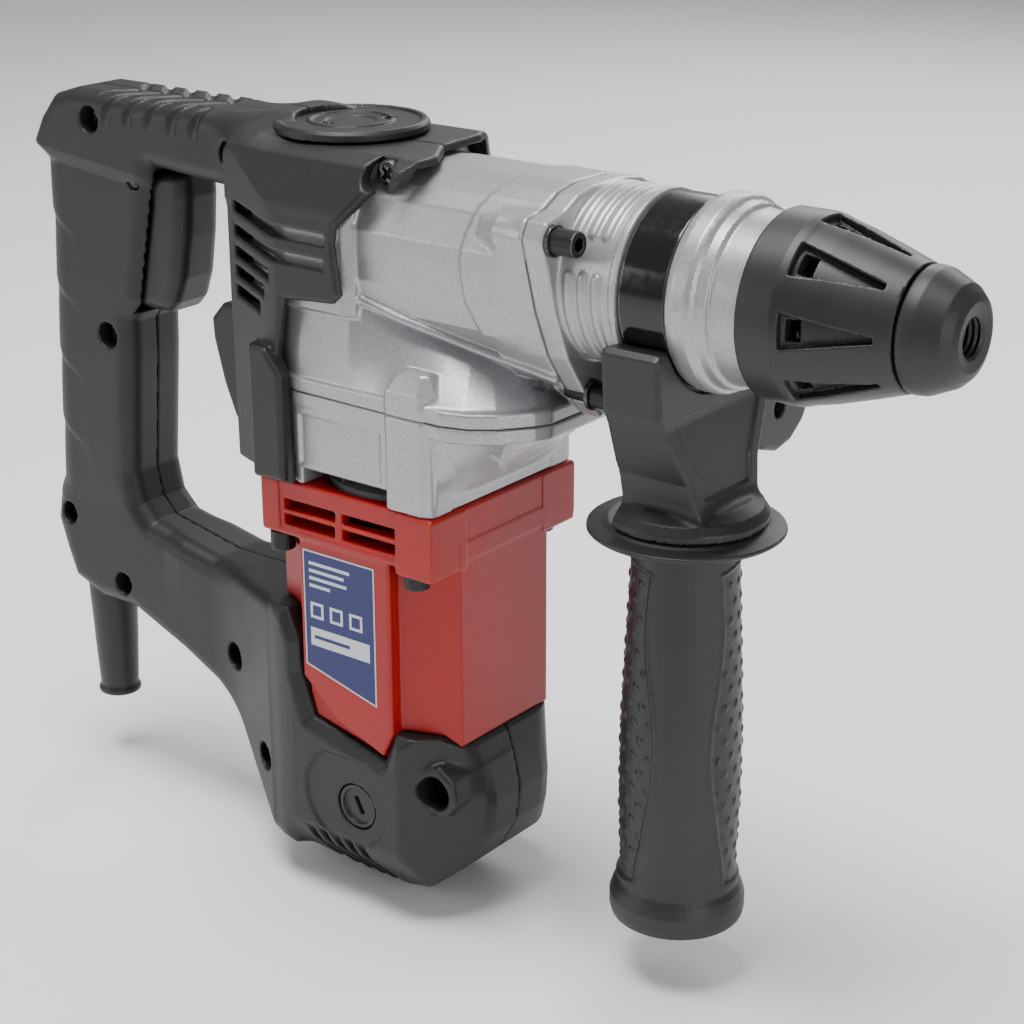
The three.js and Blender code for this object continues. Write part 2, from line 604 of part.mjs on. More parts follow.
function armatureWindings() {
  const lower = ring('z', [MOTOR_X, 0, 0], 8, 16.4, CORE_Z[0] - 13, CORE_Z[0] - FIT, 32);
  const upper = ring('z', [MOTOR_X, 0, 0], 8, 16.4, CORE_Z[1] + FIT, CORE_Z[1] + 11, 32);
  const bars = slotAngles().map((a) => rod('z', slotCentre(a), 1.7, CORE_Z[0] - 2, CORE_Z[1] + 2, 6));
  return join(lower, upper, ...bars);
}

function commutator() {
  const drum = ring('z', [MOTOR_X, 0, 0], 5.2, COMM_R, -200, -172, 40);
  const slots = Array.from({ length: 12 }, (_, k) => {
    const solid = block(MOTOR_X + COMM_R - 0.7, MOTOR_X + COMM_R + 1, -0.25, 0.25, -196, -171);
    return turnedAbout(solid, MOTOR_X, k * Math.PI / 6);
  });
  return cut(drum, ...slots);
}

// turns a solid about the upright axis at x
function turnedAbout(solid, x, angle) {
  const geometry = toGeometry(solid);
  geometry.translate(-x, 0, 0);
  geometry.rotateZ(angle);
  geometry.translate(x, 0, 0);
  return toSolid(geometry);
}

function coolingFan() {
  const hub = ring('z', [MOTOR_X, 0, 0], 5.2, 8.5, -88, -61, 28);
  const disc = ring('z', [MOTOR_X, 0, 0], 8, 30.5, -64, -61.6, 48);
  const rim = ring('z', [MOTOR_X, 0, 0], 22, 30.5, -80, -77.6, 48);
  const blades = Array.from({ length: 9 }, (_, k) => {
    const blade = plateZ([[MOTOR_X + 12, -0.8], [MOTOR_X + 29, 5], [MOTOR_X + 29, 6.6], [MOTOR_X + 12, 0.8]],
      -78, -63);
    return turnedAbout(blade, MOTOR_X, k * Math.PI / 4.5);
  });
  return join(hub, disc, rim, ...blades);
}

function sector(r0, r1, a0, a1, z0, z1) {
  const count = 6;
  const points = [];
  for (let k = 0; k <= count; k++) {
    const a = a0 + (a1 - a0) * k / count;
    points.push([MOTOR_X + r1 * Math.cos(a), r1 * Math.sin(a)]);
  }
  for (let k = count; k >= 0; k--) {
    const a = a0 + (a1 - a0) * k / count;
    points.push([MOTOR_X + r0 * Math.cos(a), r0 * Math.sin(a)]);
  }
  return plateZ(points, z0, z1);
}

function statorCore() {
  const yoke = ring('z', [MOTOR_X, 0, 0], STATOR_R - 4, STATOR_R, ...CORE_Z, 48);
  const poles = [0, Math.PI].map((mid) => sector(STATOR_BORE, STATOR_R - 3, mid - 0.72, mid + 0.72, ...CORE_Z));
  return join(yoke, ...poles);
}

function fieldCoil(mid) {
  const legs = [[-1.28, -0.8], [0.8, 1.28]].map(([a, b]) =>
    sector(STATOR_BORE + 1, STATOR_R - 4.6, mid + a, mid + b, CORE_Z[0] - 7, CORE_Z[1] + 7));
  const ends = [[CORE_Z[0] - 7, CORE_Z[0] - 1.2], [CORE_Z[1] + 1.2, CORE_Z[1] + 7]].map(([a, b]) =>
    sector(STATOR_BORE + 1, STATOR_R - 4.6, mid - 1.28, mid + 1.28, a, b));
  return join(...legs, ...ends);
}

function brushHolder(side) {
  const near = COMM_R + 2.2;
  const ys = side < 0 ? [-27.6, -near] : [near, 27.6];
  const outer = block(MOTOR_X - 5, MOTOR_X + 5, ...ys, BRUSH_Z - 6.5, BRUSH_Z + 6.5);
  const inner = block(MOTOR_X - 3.4, MOTOR_X + 3.4, -50, 50, BRUSH_Z - 4.9, BRUSH_Z + 4.9);
  return cut(outer, inner);
}

function brush(side) {
  const ys = side < 0 ? [-24.5, -COMM_R - FIT] : [COMM_R + FIT, 24.5];
  return block(MOTOR_X - 3, MOTOR_X + 3, ...ys, BRUSH_Z - 4.5, BRUSH_Z + 4.5);
}

function brushCap(side) {
  const cap = turned([
    [30.4, 0], [30.4, 6.4], [33, 8], [38.2, 8], [38.2, 0],
  ].map(([a, r]) => [a * side, r]), 'y', [MOTOR_X, 0, BRUSH_Z], 28);
  const ys = side < 0 ? [-41, -36.9] : [36.9, 41];
  return cut(cap, block(MOTOR_X - 4.6, MOTOR_X + 4.6, ...ys, BRUSH_Z - 0.9, BRUSH_Z + 0.9));
}

// ---- hammer mechanism ----------------------------------------------------------------
function crankGear() {
  const axis = [CRANK_X, 0, 0];
  const phase = Math.PI / WHEEL_TEETH;
  const wheel = plateZ(at(gearOutline(WHEEL_TEETH, WHEEL_PITCH, 0.7, 1.2, phase), CRANK_X, 0), -45.5, -38);
  const shaft = turned([
    [-54, 0], [-54, 5], [-46, 5], [-46, 9], [-37, 9], [-37, 6.2], [-24.5, 6.2], [-24.5, 16],
    [-14.5, 16], [-14.5, 0],
  ], 'z', axis, 36);
  const pin = rod('z', [CRANK_X + CRANK_THROW, 0, 0], 4.2, -15, -6.4, 24);
  return join(wheel, shaft, pin);
}

function countershaft() {
  const axis = [COUNTER_X, 0, 0];
  const phase = Math.PI / WHEEL_TEETH;
  const wheel = plateZ(at(gearOutline(WHEEL_TEETH, WHEEL_PITCH, 0.7, 1.2, phase), COUNTER_X, 0), -45.5, -38);
  const shaft = turned([
    [-54, 0], [-54, 5], [-46, 5], [-46, 9], [-37, 9], [-37, 6.2], [-24.5, 6.2], [-23.4, 3.2],
    [-19, 2.4], [-19, 0],
  ], 'z', axis, 28);
  return join(wheel, shaft, bevelPinion());
}

// teeth of the bevel pinion: short tapered bars pointing at the crossing of the two axes
function bevelPinion() {
  const out = [];
  for (let k = 0; k < BEVEL_PINION_TEETH; k++) {
    const a = Math.PI / BEVEL_PINION_TEETH + k * 2 * Math.PI / BEVEL_PINION_TEETH;
    const section = (z, pitch) => {
      const s = pitch / BEVEL_PINION_R;
      return [[2.2 * s, -0.9 * s], [2.2 * s, 0.9 * s], [(BEVEL_PINION_R + 0.7) * s, 0.1 * s],
        [(BEVEL_PINION_R + 0.7) * s, -0.1 * s]].map(([r, t]) => [
        COUNTER_X + r * Math.cos(a) - t * Math.sin(a), r * Math.sin(a) + t * Math.cos(a), z]);
    };
    out.push(loft([section(-22.8, BEVEL_PINION_R * 22.8 / 21), section(-19, BEVEL_PINION_R * 19 / 21)]));
  }
  return join(...out);
}

// ring of pointed teeth on the rear face of a collar round the hammer tube
function bevelRing() {
  const x0 = COUNTER_X + BEVEL_PINION_R;
  const count = 2 * BEVEL_RING_TEETH;
  const rows = [
    () => [x0 + 6.5, TUBE_R + 0.15], () => [x0 + 6.5, 22.4],
    (tip) => [tip ? x0 - 0.7 : x0 + 1.5, 22.4], (tip) => [tip ? x0 - 0.6 : x0 + 1.4, 19.2],
    () => [x0 + 1.6, TUBE_R + 0.15],
  ];
  const pos = [];
  const index = [];
  rows.forEach((row, j) => {
    for (let k = 0; k < count; k++) {
      const a = k * 2 * Math.PI / count;
      const [x, r] = row(k % 2 === 0);
      pos.push(x, r * Math.sin(a), -r * Math.cos(a));
      const next = (k + 1) % count;
      const below = (j + 1) % rows.length * count;
      index.push(j * count + k, j * count + next, below + next, j * count + k, below + next, below + k);
    }
  });
  const geometry = new THREE.BufferGeometry();
  geometry.setAttribute('position', new THREE.BufferAttribute(new Float32Array(pos), 3));
  geometry.setIndex(index);
  return toSolid(geometry);
}

function connectingRod() {
  const bigX = CRANK_X + CRANK_THROW;
  const smallX = bigX + ROD_LENGTH;
  const big = rod('z', [bigX, 0, 0], 8.4, -6, 5, 28);
  const small = rod('y', [smallX, 0, 0], 5.4, -4.6, 4.6, 24);
  const beam = block(bigX, smallX, -4, 4, -3.4, 3.4);
  const eye = rod('z', [bigX, 0, 0], 4.6, -10, 10, 24);
  const pinHole = rod('y', [smallX, 0, 0], 2.8, -10, 10, 20);
  return cut(join(big, small, beam), eye, pinHole);
}

const PISTON_PIN_X = CRANK_X + CRANK_THROW + ROD_LENGTH;

function piston() {
  const x0 = PISTON_PIN_X - 7;
  const skirt = turned([
    [x0, 0], [x0, 13.3], [x0 + 16, 13.3], [x0 + 16, 12.4], [x0 + 18.5, 12.4], [x0 + 18.5, 13.3],
    [x0 + 21, 13.3], [x0 + 21, 0],
  ], 'x', [0, 0, 0], 36);
  const slot = block(x0 - 1, PISTON_PIN_X + 6.2, -5, 5, -7, 7);
  const hole = rod('y', [PISTON_PIN_X, 0, 0], 2.8, -20, 20, 20);
  return cut(skirt, slot, hole);
}

function striker() {
  return turned([
    [-20, 0], [-20, 13.3], [-16.5, 13.3], [-16.5, 12.5], [-14, 12.5], [-14, 13.3], [-2, 13.3],
    [0, 11], [0, 7.5], [9, 7.2], [10, 6], [10, 0],
  ], 'x', [0, 0, 0], 36);
}

function impactBolt() {
  return turned([
    [18, 0], [18, 5.5], [19.5, 7], [28, 7], [29, 9.4], [36, 9.4], [37.5, 7.4], [43, 7.4], [45, 5.5],
    [64, 4.7], [64, 0],
  ], 'x', [0, 0, 0], 32);
}

function hammerTube() {
  return turned([
    [-64, TUBE_BORE], [-64, TUBE_R], [22.5, TUBE_R], [22.5, 13.2], [29, 13.2], [29, 11.9],
    [14.5, 11.9], [13, TUBE_BORE],
  ], 'x', [0, 0, 0], 40);
}

function toolHolder() {
  return cut(turned([
    [29.4, 9.9], [29.4, 15.6], [45.8, 15.6], [45.8, 12.4], [56, 12.4], [56, 15.7], [57.4, 15.7],
    [57.4, 12.4], [109.4, 12.4], [109.4, 10.4], [116, 10.4], [116, SHANK_R], [66.5, SHANK_R],
    [64.6, 7.8], [40, 7.8], [40, 9.9],
  ], 'x', [0, 0, 0], 40), ...[[-20, -4], [4, 20]].map((span) => rod('z', [88, 0, 0], 3.6, ...span, 16)));
}

function lockingBall(side) {
  const radius = 3.2;
  const profile = Array.from({ length: 9 }, (_, k) => {
    const a = Math.PI * k / 8;
    return [-radius * Math.cos(a), k === 0 || k === 8 ? 0 : radius * Math.sin(a)];
  });
  return turned(profile, 'z', [88, 0, 8.9 * side], 16);
}

function sleeveSpring() {
  const turns = 5;
  const points = [];
  const count = 35;
  for (let k = 0; k <= count; k++) {
    const a = 2 * Math.PI * turns * k / count;
    points.push(new THREE.Vector3(58.9 + 22.8 * k / count, 14.6 * Math.cos(a), 14.6 * Math.sin(a)));
  }
  const wire = new THREE.Shape(Array.from({ length: 5 }, (_, k) =>
    new THREE.Vector2(0.9 * Math.cos(k * Math.PI / 2.5), 0.9 * Math.sin(k * Math.PI / 2.5))));
  return toSolid(new THREE.ExtrudeGeometry(wire, {
    steps: count, bevelEnabled: false, extrudePath: new THREE.CatmullRomCurve3(points),
  }));
}

function chuckSleeve() {
  const shell = turned([
    [CHUCK_X, 26.9], [CHUCK_X + 0.8, CHUCK_R], [CHUCK_X + 12, CHUCK_R], [CHUCK_X + 15, 26.6], [88, 24.9],
    [100, 21.2], [109.3, 18.1], [109.3, 13.4], [94, 13.4], [94, 16.8], [84, 18.8], [79, 20.5], [79, 26],
    [CHUCK_X, 26],
  ], 'x', [0, 0, 0], 48);
  const flutes = Array.from({ length: 8 }, (_, k) => {
    const a = k * Math.PI / 4 + Math.PI / 8;
    const section = (x, r, w) => [[r, -w], [r, w], [32, w + 1], [32, -w - 1]].map(([q, t]) => [
      x, q * Math.cos(a) - t * Math.sin(a), q * Math.sin(a) + t * Math.cos(a)]);
    return loft([section(82, 25.6, 0.6), section(87, 23.2, 3), section(104, 19.6, 1.6)]);
  });
  return cut(shell, ...flutes);
}

function dustCap() {
  return turned([
    [110, 17], [110.8, 17.9], [114.5, 17.6], [121, 14.6], [124, 12.2], [TIP_X, 9.4], [124, 7],
    [121.4, 5.6], [116.6, 5.6], [116.6, 10.8], [110, 10.8],
  ], 'x', [0, 0, 0], 48);
}

function modeSelector() {
  const disc = turned([[32.4, 0], [32.4, 15], [36, 15.5], [38.5, 14], [38.5, 0]], 'y', [SELECTOR_X, 0, 0], 32);
  const bar = block(SELECTOR_X - 14, SELECTOR_X + 11, 38, 42, -4, 4);
  const stem = rod('y', [SELECTOR_X, 0, 0], 6, 25, 33, 20);
  return join(disc, bar, stem);
}

// ---- side handle ---------------------------------------------------------------------
function clampBand() {
  return cut(
    ring('x', [0, 0, 0], BAND_R - BAND_T, BAND_R, BAND_X0, BAND_X1, 48),
    block(BAND_X0 - 1, BAND_X1 + 1, -3, 3, -40, -10),
  );
}

// yoke of the side handle: two cheeks up the band, a square neck and a round disc
function handleSaddle() {
  const x0 = BAND_X0 - 2.3;
  const x1 = BAND_X1 + 2.3;
  const yoke = plateX([
    [-32.4, -14], [-30.6, -12.5], [-26, -13], [26, -13], [30.6, -12.5], [32.4, -14], [31, -32],
    [19, -56], [17, -66], [-17, -66], [-19, -56], [-31, -32],
  ], x0, x1, 1.5, [], 1);
  const trim = [
    plateY([[x0 - 2, -36], [x0 - 2, -70], [HANDLE_X - 16, -70], [HANDLE_X - 16, -52]], -40, 40),
    plateY([[x1 + 2, -36], [x1 + 2, -70], [HANDLE_X + 16, -70], [HANDLE_X + 16, -52]], -40, 40),
  ];
  const disc = turned([[-71, 0], [-71, 25.2], [-67.5, 25.2], [-64.5, 22.5], [-63, 0]], 'z', [HANDLE_X, 0, 0], 48);
  const wing = plateX([
    [22, -24], [58, -32], [WING_Y, -36], [56, -50], [46, -60], [36, -60.5], [22, -50],
  ], HANDLE_X - 1, HANDLE_X + 7, 2, [], 1);
  const seat = rod('x', [0, 0, 0], BAND_R + FIT, 10, 60, 48);
  const rearRing = rod('x', [0, 0, 0], 27.6 + FIT, 10, BAND_X0, 48);
  const rings = ring('x', [0, 0, 0], 20, 29.2 + 2 * FIT, BAND_X1 + 0.3, 60, 48);
  const rodHole = rod('x', [0, 40, -46], 3.2, 20, 60, 20);
  const boltHole = rod('z', [HANDLE_X, 0, 0], 4 + FIT, -80, -20, 20);
  const lugs = block(BAND_X0 - 1, BAND_X1 + 1, -9, 9, -45, -20);
  const button = rod('x', [0, 54, -40], 2.3 + FIT, 20, 60, 16);
  return cut(join(yoke.subtract(trim[0]).subtract(trim[1]), disc, wing),
    seat, rearRing, rings, rodHole, boltHole, lugs, button);
}

function clampBolt() {
  const plate = block(BAND_X0 + 1, BAND_X1 - 1, -8, 8, -38, -35.6);
  const lugs = [[-7, -3.4], [3.4, 7]].map((ys) => block(BAND_X0 + 1.2, BAND_X1 - 1.2, ...ys, -36, -27.6));
  const shank = rod('z', [HANDLE_X, 0, 0], 4, -118, -37, 20);
  return cut(join(plate, shank, ...lugs), rod('x', [0, 0, 0], BAND_R + FIT, 0, 60, 48));
}

function sideGrip() {
  const outer = [
    [GRIP_END_Z, 0], [GRIP_END_Z, 19.6], [GRIP_END_Z + 3, 21.6], [GRIP_END_Z + 9, 21.4],
    [GRIP_END_Z + 13, 19.6], [-186, 18.8], [-150, 19.6], [-120, 18.6], [-88, 17.2], [-78, 17],
    [-76, 20], [-74.5, 30.4], [-73, 30.4], [-71.3, 24], [-71.3, 6], [-119, 6], [-119, 0],
  ];
  return turned(outer, 'z', [HANDLE_X, 0, 0], 40);
}

function depthButton() {
  return join(
    rod('x', [0, 54, -40], 2.3, HANDLE_X - 8, HANDLE_X + 6, 16),
    rod('x', [0, 54, -40], 4.2, HANDLE_X - 8, HANDLE_X - 3.6, 20),
  );
}

function switchBody() {
  return block(-226, -196.5, -8.5, 8.5, -44, -4);
}

// ---- assembly ------------------------------------------------------------------------
const [shellRight, shellLeft] = handleShells();
piece('handle_shell_right', shellRight, ...BLACK);
piece('handle_shell_left', shellLeft, ...BLACK);
piece('cable_boot', cableBoot(), ...RUBBER);
piece('switch_body', switchBody(), ...CARBON);
piece('trigger', trigger(), ...BLACK);
piece('grease_cap', greaseCap(), ...BLACK);
piece('gearbox_case', gearboxCase(), ...SILVER);
piece('fan_case', fanCase(), ...SILVER);
piece('motor_housing', motorHousing(), ...RED);
piece('front_barrel', frontBarrel(), ...SILVER);
for (const [side, name] of [[-1, 'right'], [1, 'left']]) {
  piece(`brush_cap_${name}`, brushCap(side), ...BLACK);
  piece(`brush_holder_${name}`, brushHolder(side), ...BRASS);
  piece(`brush_${name}`, brush(side), ...CARBON);
  piece(`locking_ball_${name === 'right' ? 'lower' : 'upper'}`, lockingBall(side), ...STEEL);
}
piece('stator_core', statorCore(), ...IRON);
piece('field_coil_front', fieldCoil(0), ...COPPER);
piece('field_coil_rear', fieldCoil(Math.PI), ...COPPER);
piece('armature_shaft', armatureShaft(), ...STEEL);
piece('armature_core', armatureCore(), ...IRON);
piece('armature_windings', armatureWindings(), ...COPPER);
piece('commutator', commutator(), ...COPPER);
piece('cooling_fan', coolingFan(), ...GREY);
piece('armature_bearing_upper', ring('z', [MOTOR_X, 0, 0], 4.1, 11, -58.2, -49.4), ...STEEL);
piece('armature_bearing_lower', ring('z', [MOTOR_X, 0, 0], 4.1, 9.5, -215.5, -206), ...STEEL);
piece('crank_gear', crankGear(), ...STEEL);
piece('crank_bearing', ring('z', [CRANK_X, 0, 0], 6.4, 11, -35.8, -25.5), ...STEEL);
piece('countershaft', countershaft(), ...STEEL);
piece('countershaft_bearing', ring('z', [COUNTER_X, 0, 0], 6.4, 11, -35.8, -25.5), ...STEEL);
piece('connecting_rod', connectingRod(), ...STEEL);
piece('piston_pin', rod('y', [PISTON_PIN_X, 0, 0], 2.6, -12.4, 12.4, 20), ...STEEL);
piece('piston', piston(), ...GREY);
piece('striker', striker(), ...STEEL);
piece('impact_bolt', impactBolt(), ...STEEL);
piece('hammer_tube', hammerTube(), ...STEEL);
piece('bevel_ring', bevelRing(), ...STEEL);
piece('tube_bearing', ring('x', [0, 0, 0], TUBE_R + FIT, BORE_R - FIT, -62, -53, 40), ...STEEL);
piece('spindle_bearing', ring('x', [0, 0, 0], 12.6, 21, 46.4, 55.6, 40), ...STEEL);
piece('tool_holder', toolHolder(), ...STEEL);
piece('ball_ring', turned([
  [83, 12.8], [83, 16], [93.4, 16], [93.4, 12.8],
], 'x', [0, 0, 0], 32), ...STEEL);
piece('sleeve_spring', sleeveSpring(), ...STEEL);
piece('chuck_sleeve', chuckSleeve(), ...BLACK);
piece('dust_cap', dustCap(), ...RUBBER);
piece('mode_selector', modeSelector(), ...BLACK);
piece('clamp_band', clampBand(), ...DARK_STEEL);
piece('handle_saddle', handleSaddle(), ...BLACK);
piece('clamp_bolt', clampBolt(), ...STEEL);
piece('side_grip', sideGrip(), ...BLACK);
piece('depth_button', depthButton(), ...RED);
BARREL_SCREWS.forEach((spot, k) => piece(`barrel_screw_${k + 1}`, barrelScrew(spot), ...DARK_STEEL));
FLANGE_SCREWS.forEach((spot, k) => piece(`flange_screw_${k + 1}`, flangeScrew(spot), ...DARK_STEEL));

export default group;
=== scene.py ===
import functools
import math
import bpy
import numpy as np
from mathutils import Matrix, Vector


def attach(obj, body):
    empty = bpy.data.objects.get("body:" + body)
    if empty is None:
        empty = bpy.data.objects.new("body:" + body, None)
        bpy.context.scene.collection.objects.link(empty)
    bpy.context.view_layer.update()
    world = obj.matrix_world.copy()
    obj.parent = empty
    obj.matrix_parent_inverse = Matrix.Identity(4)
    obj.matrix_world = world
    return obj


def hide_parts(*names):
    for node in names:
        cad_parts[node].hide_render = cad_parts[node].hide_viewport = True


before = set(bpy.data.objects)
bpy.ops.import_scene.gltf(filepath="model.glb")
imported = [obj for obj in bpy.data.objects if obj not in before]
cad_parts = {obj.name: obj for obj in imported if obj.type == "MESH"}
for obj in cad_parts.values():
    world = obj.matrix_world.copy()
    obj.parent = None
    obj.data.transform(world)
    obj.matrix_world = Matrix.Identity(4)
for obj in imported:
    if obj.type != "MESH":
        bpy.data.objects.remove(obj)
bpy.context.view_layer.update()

# ---- Camera, floor and lamps ---------------------------------------------------------
# The tool stands on its motor end on a pale studio floor. A long lens looks down on its right front,
# with a broad soft lamp over the left shoulder, a weaker one on the right and a low one behind.
AXIS = np.array([57.5, -10.0, 226.0])      # the spindle's zero point in the tool's own box, mm
MM = 0.001


def placed(x, y, z):
    """A point given from the spindle's zero point in millimetres, in the frame in metres."""
    return Vector((np.array([x, y, z]) + AXIS) * MM)


def aimed(location, target, roll=0.0):
    """The turn that points an object's -Z at a target with its +Y up, then rolls it about that line."""
    direction = (target - location).to_track_quat("-Z", "Y").to_matrix().to_4x4()
    return Matrix.Translation(location) @ direction @ Matrix.Rotation(roll, 4, "Z")


azimuth, elevation, view_distance = math.radians(37.736), math.radians(20.652), 718.0
view_target = placed(-31.353, 0.0, -85.198)
view_side = Vector((math.sin(azimuth) * math.cos(elevation), -math.cos(azimuth) * math.cos(elevation),
                    math.sin(elevation)))
camera = bpy.data.objects.new("camera", bpy.data.cameras.new("camera"))
bpy.context.scene.collection.objects.link(camera)
camera.data.sensor_width = 36.0
camera.data.lens = 78.93
camera.data.clip_start = 0.01
camera.matrix_world = aimed(view_target + view_side * view_distance * MM, view_target, math.radians(-0.129))
bpy.context.scene.camera = camera


def soft_lamp(name, location, target, size, power):
    """A square area lamp at a place, aimed at a target."""
    lamp = bpy.data.objects.new(name, bpy.data.lights.new(name, "AREA"))
    bpy.context.scene.collection.objects.link(lamp)
    lamp.data.size = size
    lamp.data.energy = power
    lamp.matrix_world = aimed(Vector(location), Vector(target))


middle = (0.0, 0.0, 0.14)
soft_lamp("lamp_over", (-0.1, -0.2, 1.6), middle, 0.8, 32.0)
soft_lamp("lamp_right", (1.5, -0.5, 0.55), middle, 0.7, 7.0)
soft_lamp("lamp_left", (-1.2, -1.3, 0.6), middle, 0.6, 5.0)
soft_lamp("lamp_behind", (-0.4, 1.5, 1.1), middle, 1.0, 14.0)
sky = bpy.data.worlds.new("studio")
sky.use_nodes = True
sky.node_tree.nodes["Background"].inputs["Color"].default_value = (0.93, 0.94, 0.96, 1.0)
sky.node_tree.nodes["Background"].inputs["Strength"].default_value = 0.36
bpy.context.scene.world = sky


def plain_material(name, colour, roughness, metallic=0.0):
    """A material with one shader, and its shader, for detail to be wired into."""
    material = bpy.data.materials.new(name)
    material.use_nodes = True
    shader = material.node_tree.nodes["Principled BSDF"]
    shader.inputs["Base Color"].default_value = (*colour, 1.0)
    shader.inputs["Roughness"].default_value = roughness
    shader.inputs["Metallic"].default_value = metallic
    return material, shader


def surface(name, points, faces):
    """A mesh object from points in metres and a list or array of faces, shaded smooth."""
    mesh = bpy.data.meshes.new(name)
    mesh.from_pydata(np.asarray(points).tolist(), [], np.asarray(faces).tolist())
    mesh.polygons.foreach_set("use_smooth", np.ones(len(mesh.polygons), bool))
    piece = bpy.data.objects.new(name, mesh)
    bpy.context.scene.collection.objects.link(piece)
    return piece


floor = surface("floor", [(-6, -6, 0), (6, -6, 0), (6, 6, 0), (-6, 6, 0)], [(0, 1, 2, 3)])
floor.data.materials.append(plain_material("floor_paint", (0.93, 0.93, 0.93), 0.75)[0])

# ---- Handle shells -------------------------------------------------------------------
# Two half shells of glass filled nylon with a fine spark grain, a left and a right hand, screwed together
# through deep wells in the right one. They form the D handle, the deck, the column and the motor end.


def outline(a, b, corners):
    """Signed distance in the plane of a and b to a closed outline, negative inside it.
    The nearest point of every edge is taken, and each edge that the point's level crosses turns the sign."""
    near = np.full(np.broadcast(a, b).shape, 1e9, np.float32)
    inside = np.ones(near.shape, np.float32)
    for k, (a0, b0) in enumerate(corners):
        a1, b1 = corners[(k + 1) % len(corners)]
        length = (a1 - a0) ** 2 + (b1 - b0) ** 2
        along = np.clip(((a - a0) * (a1 - a0) + (b - b0) * (b1 - b0)) / length, 0, 1)
        near = np.minimum(near, (a - a0 - (a1 - a0) * along) ** 2 + (b - b0 - (b1 - b0) * along) ** 2)
        left = (a1 - a0) * (b - b0) > (b1 - b0) * (a - a0)
        crossed = ((b >= b0) & (b < b1) & left) | ((b < b0) & (b >= b1) & ~left)
        inside = np.where(crossed, -inside, inside)
    return inside * np.sqrt(near)


def span(v, low, high):
    """Distance outside the stretch from low to high, negative inside it."""
    return np.abs(v - (low + high) / 2) - (high - low) / 2


def plate(flat, through, edge):
    """A flat shape of distance flat, as thick as through says, with its edges rounded by edge."""
    a, b = flat + edge, through + edge
    return np.minimum(np.maximum(a, b), 0) + np.hypot(np.maximum(a, 0), np.maximum(b, 0)) - edge


def joined(a, b, fillet=0.01):
    """The union of two shapes with a fillet: the lesser distance, less a smooth bulge where they are near."""
    mix = np.clip(0.5 + 0.5 * (b - a) / fillet, 0, 1)
    return b + (a - b) * mix - fillet * mix * (1 - mix)


def cut(a, b, fillet=0.01):
    """Shape a with shape b taken out of it, its edge rounded by the fillet."""
    return -joined(-a, b, fillet)


def shared(a, b, fillet=0.01):
    """What two shapes have in common, its edge rounded by the fillet."""
    return -joined(-a, -b, fillet)


def with_room(rooms, *limits):
    """The rooms with one more, which is what all its limits have in common."""
    return np.minimum(rooms, functools.reduce(np.maximum, limits))


def disc(a, b, a0, b0, radius):
    """Signed distance in the plane of a and b to a circle."""
    return np.hypot(a - a0, b - b0) - radius


def skin(field, low, high, step):
    """The surface where field is zero, in a box, as points and quads.
    Field is read on a grid. Each cell that it crosses gets one point, at the mean of the crossings on the
    cell's edges, and each grid edge that is crossed joins the four cells round it with a quad. The points
    then slide along the field's slope until they lie on the surface, and the slope gives their normals."""
    low = np.array(low, np.float32)
    count = np.ceil((np.array(high) - low) / step).astype(int) + 1
    x, y, z = (low[k] + step * np.arange(count[k], dtype=np.float32) for k in range(3))
    value = field(x[:, None, None], y[None, :, None], z[None, None, :]).astype(np.float32)
    value = np.broadcast_to(value, tuple(count)).copy()
    inner = value < 0
    corners = [(i, j, k) for i in (0, 1) for j in (0, 1) for k in (0, 1)]
    part = [slice(0, -1), slice(1, None)]
    filled = sum(inner[part[i], part[j], part[k]].astype(np.int8) for i, j, k in corners)
    active = (filled > 0) & (filled < 8)
    cell = np.argwhere(active)
    number = np.full(active.shape, -1, np.int32)
    number[active] = np.arange(len(cell))
    total, hits = np.zeros((len(cell), 3), np.float32), np.zeros(len(cell), np.float32)
    for a in corners:
        for k in range(3):
            if a[k] == 0:
                b = tuple(1 if n == k else a[n] for n in range(3))
                va = value[tuple((cell + a).T)]
                vb = value[tuple((cell + b).T)]
                hit = (va < 0) != (vb < 0)
                share = np.where(hit, va / np.where(hit, va - vb, 1), 0)
                total += hit[:, None] * (np.array(a, np.float32) + share[:, None] * (np.array(b) - a))
                hits += hit
    points = low + step * (cell + total / hits[:, None])
    quads = []
    for k in range(3):
        u, w = (k + 1) % 3, (k + 2) % 3
        first, second = [slice(None)] * 3, [slice(None)] * 3
        first[k], second[k] = slice(0, -1), slice(1, None)
        crossed = inner[tuple(first)] != inner[tuple(second)]
        at = np.argwhere(crossed)
        at = at[(at[:, u] > 0) & (at[:, w] > 0)]
        outward = inner[tuple(first)][tuple(at.T)]
        ring = []
        for du, dw in ((1, 1), (0, 1), (0, 0), (1, 0)):
            corner = at.copy()
            corner[:, u] -= du
            corner[:, w] -= dw
            ring.append(number[tuple(corner.T)])
        ring = np.stack(ring, 1)
        quads.append(np.where(outward[:, None], ring, ring[:, ::-1]))

    def slope(p, reach):
        parts = []
        for k in range(3):
            ahead, behind = p.copy(), p.copy()
            ahead[:, k] += reach
            behind[:, k] -= reach
            parts.append((field(*ahead.T) - field(*behind.T)) / (2 * reach))
        return np.stack(parts, 1)

    for _ in range(3):
        way = slope(points, 0.1 * step)
        amount = field(*points.T) / np.maximum((way ** 2).sum(1), 0.25)
        points = points - way * np.clip(amount, -0.6 * step, 0.6 * step)[:, None]
    normals = slope(points, 0.3 * step)
    normals /= np.maximum(np.linalg.norm(normals, axis=1), 1e-6)[:, None]
    return points, np.concatenate(quads), normals


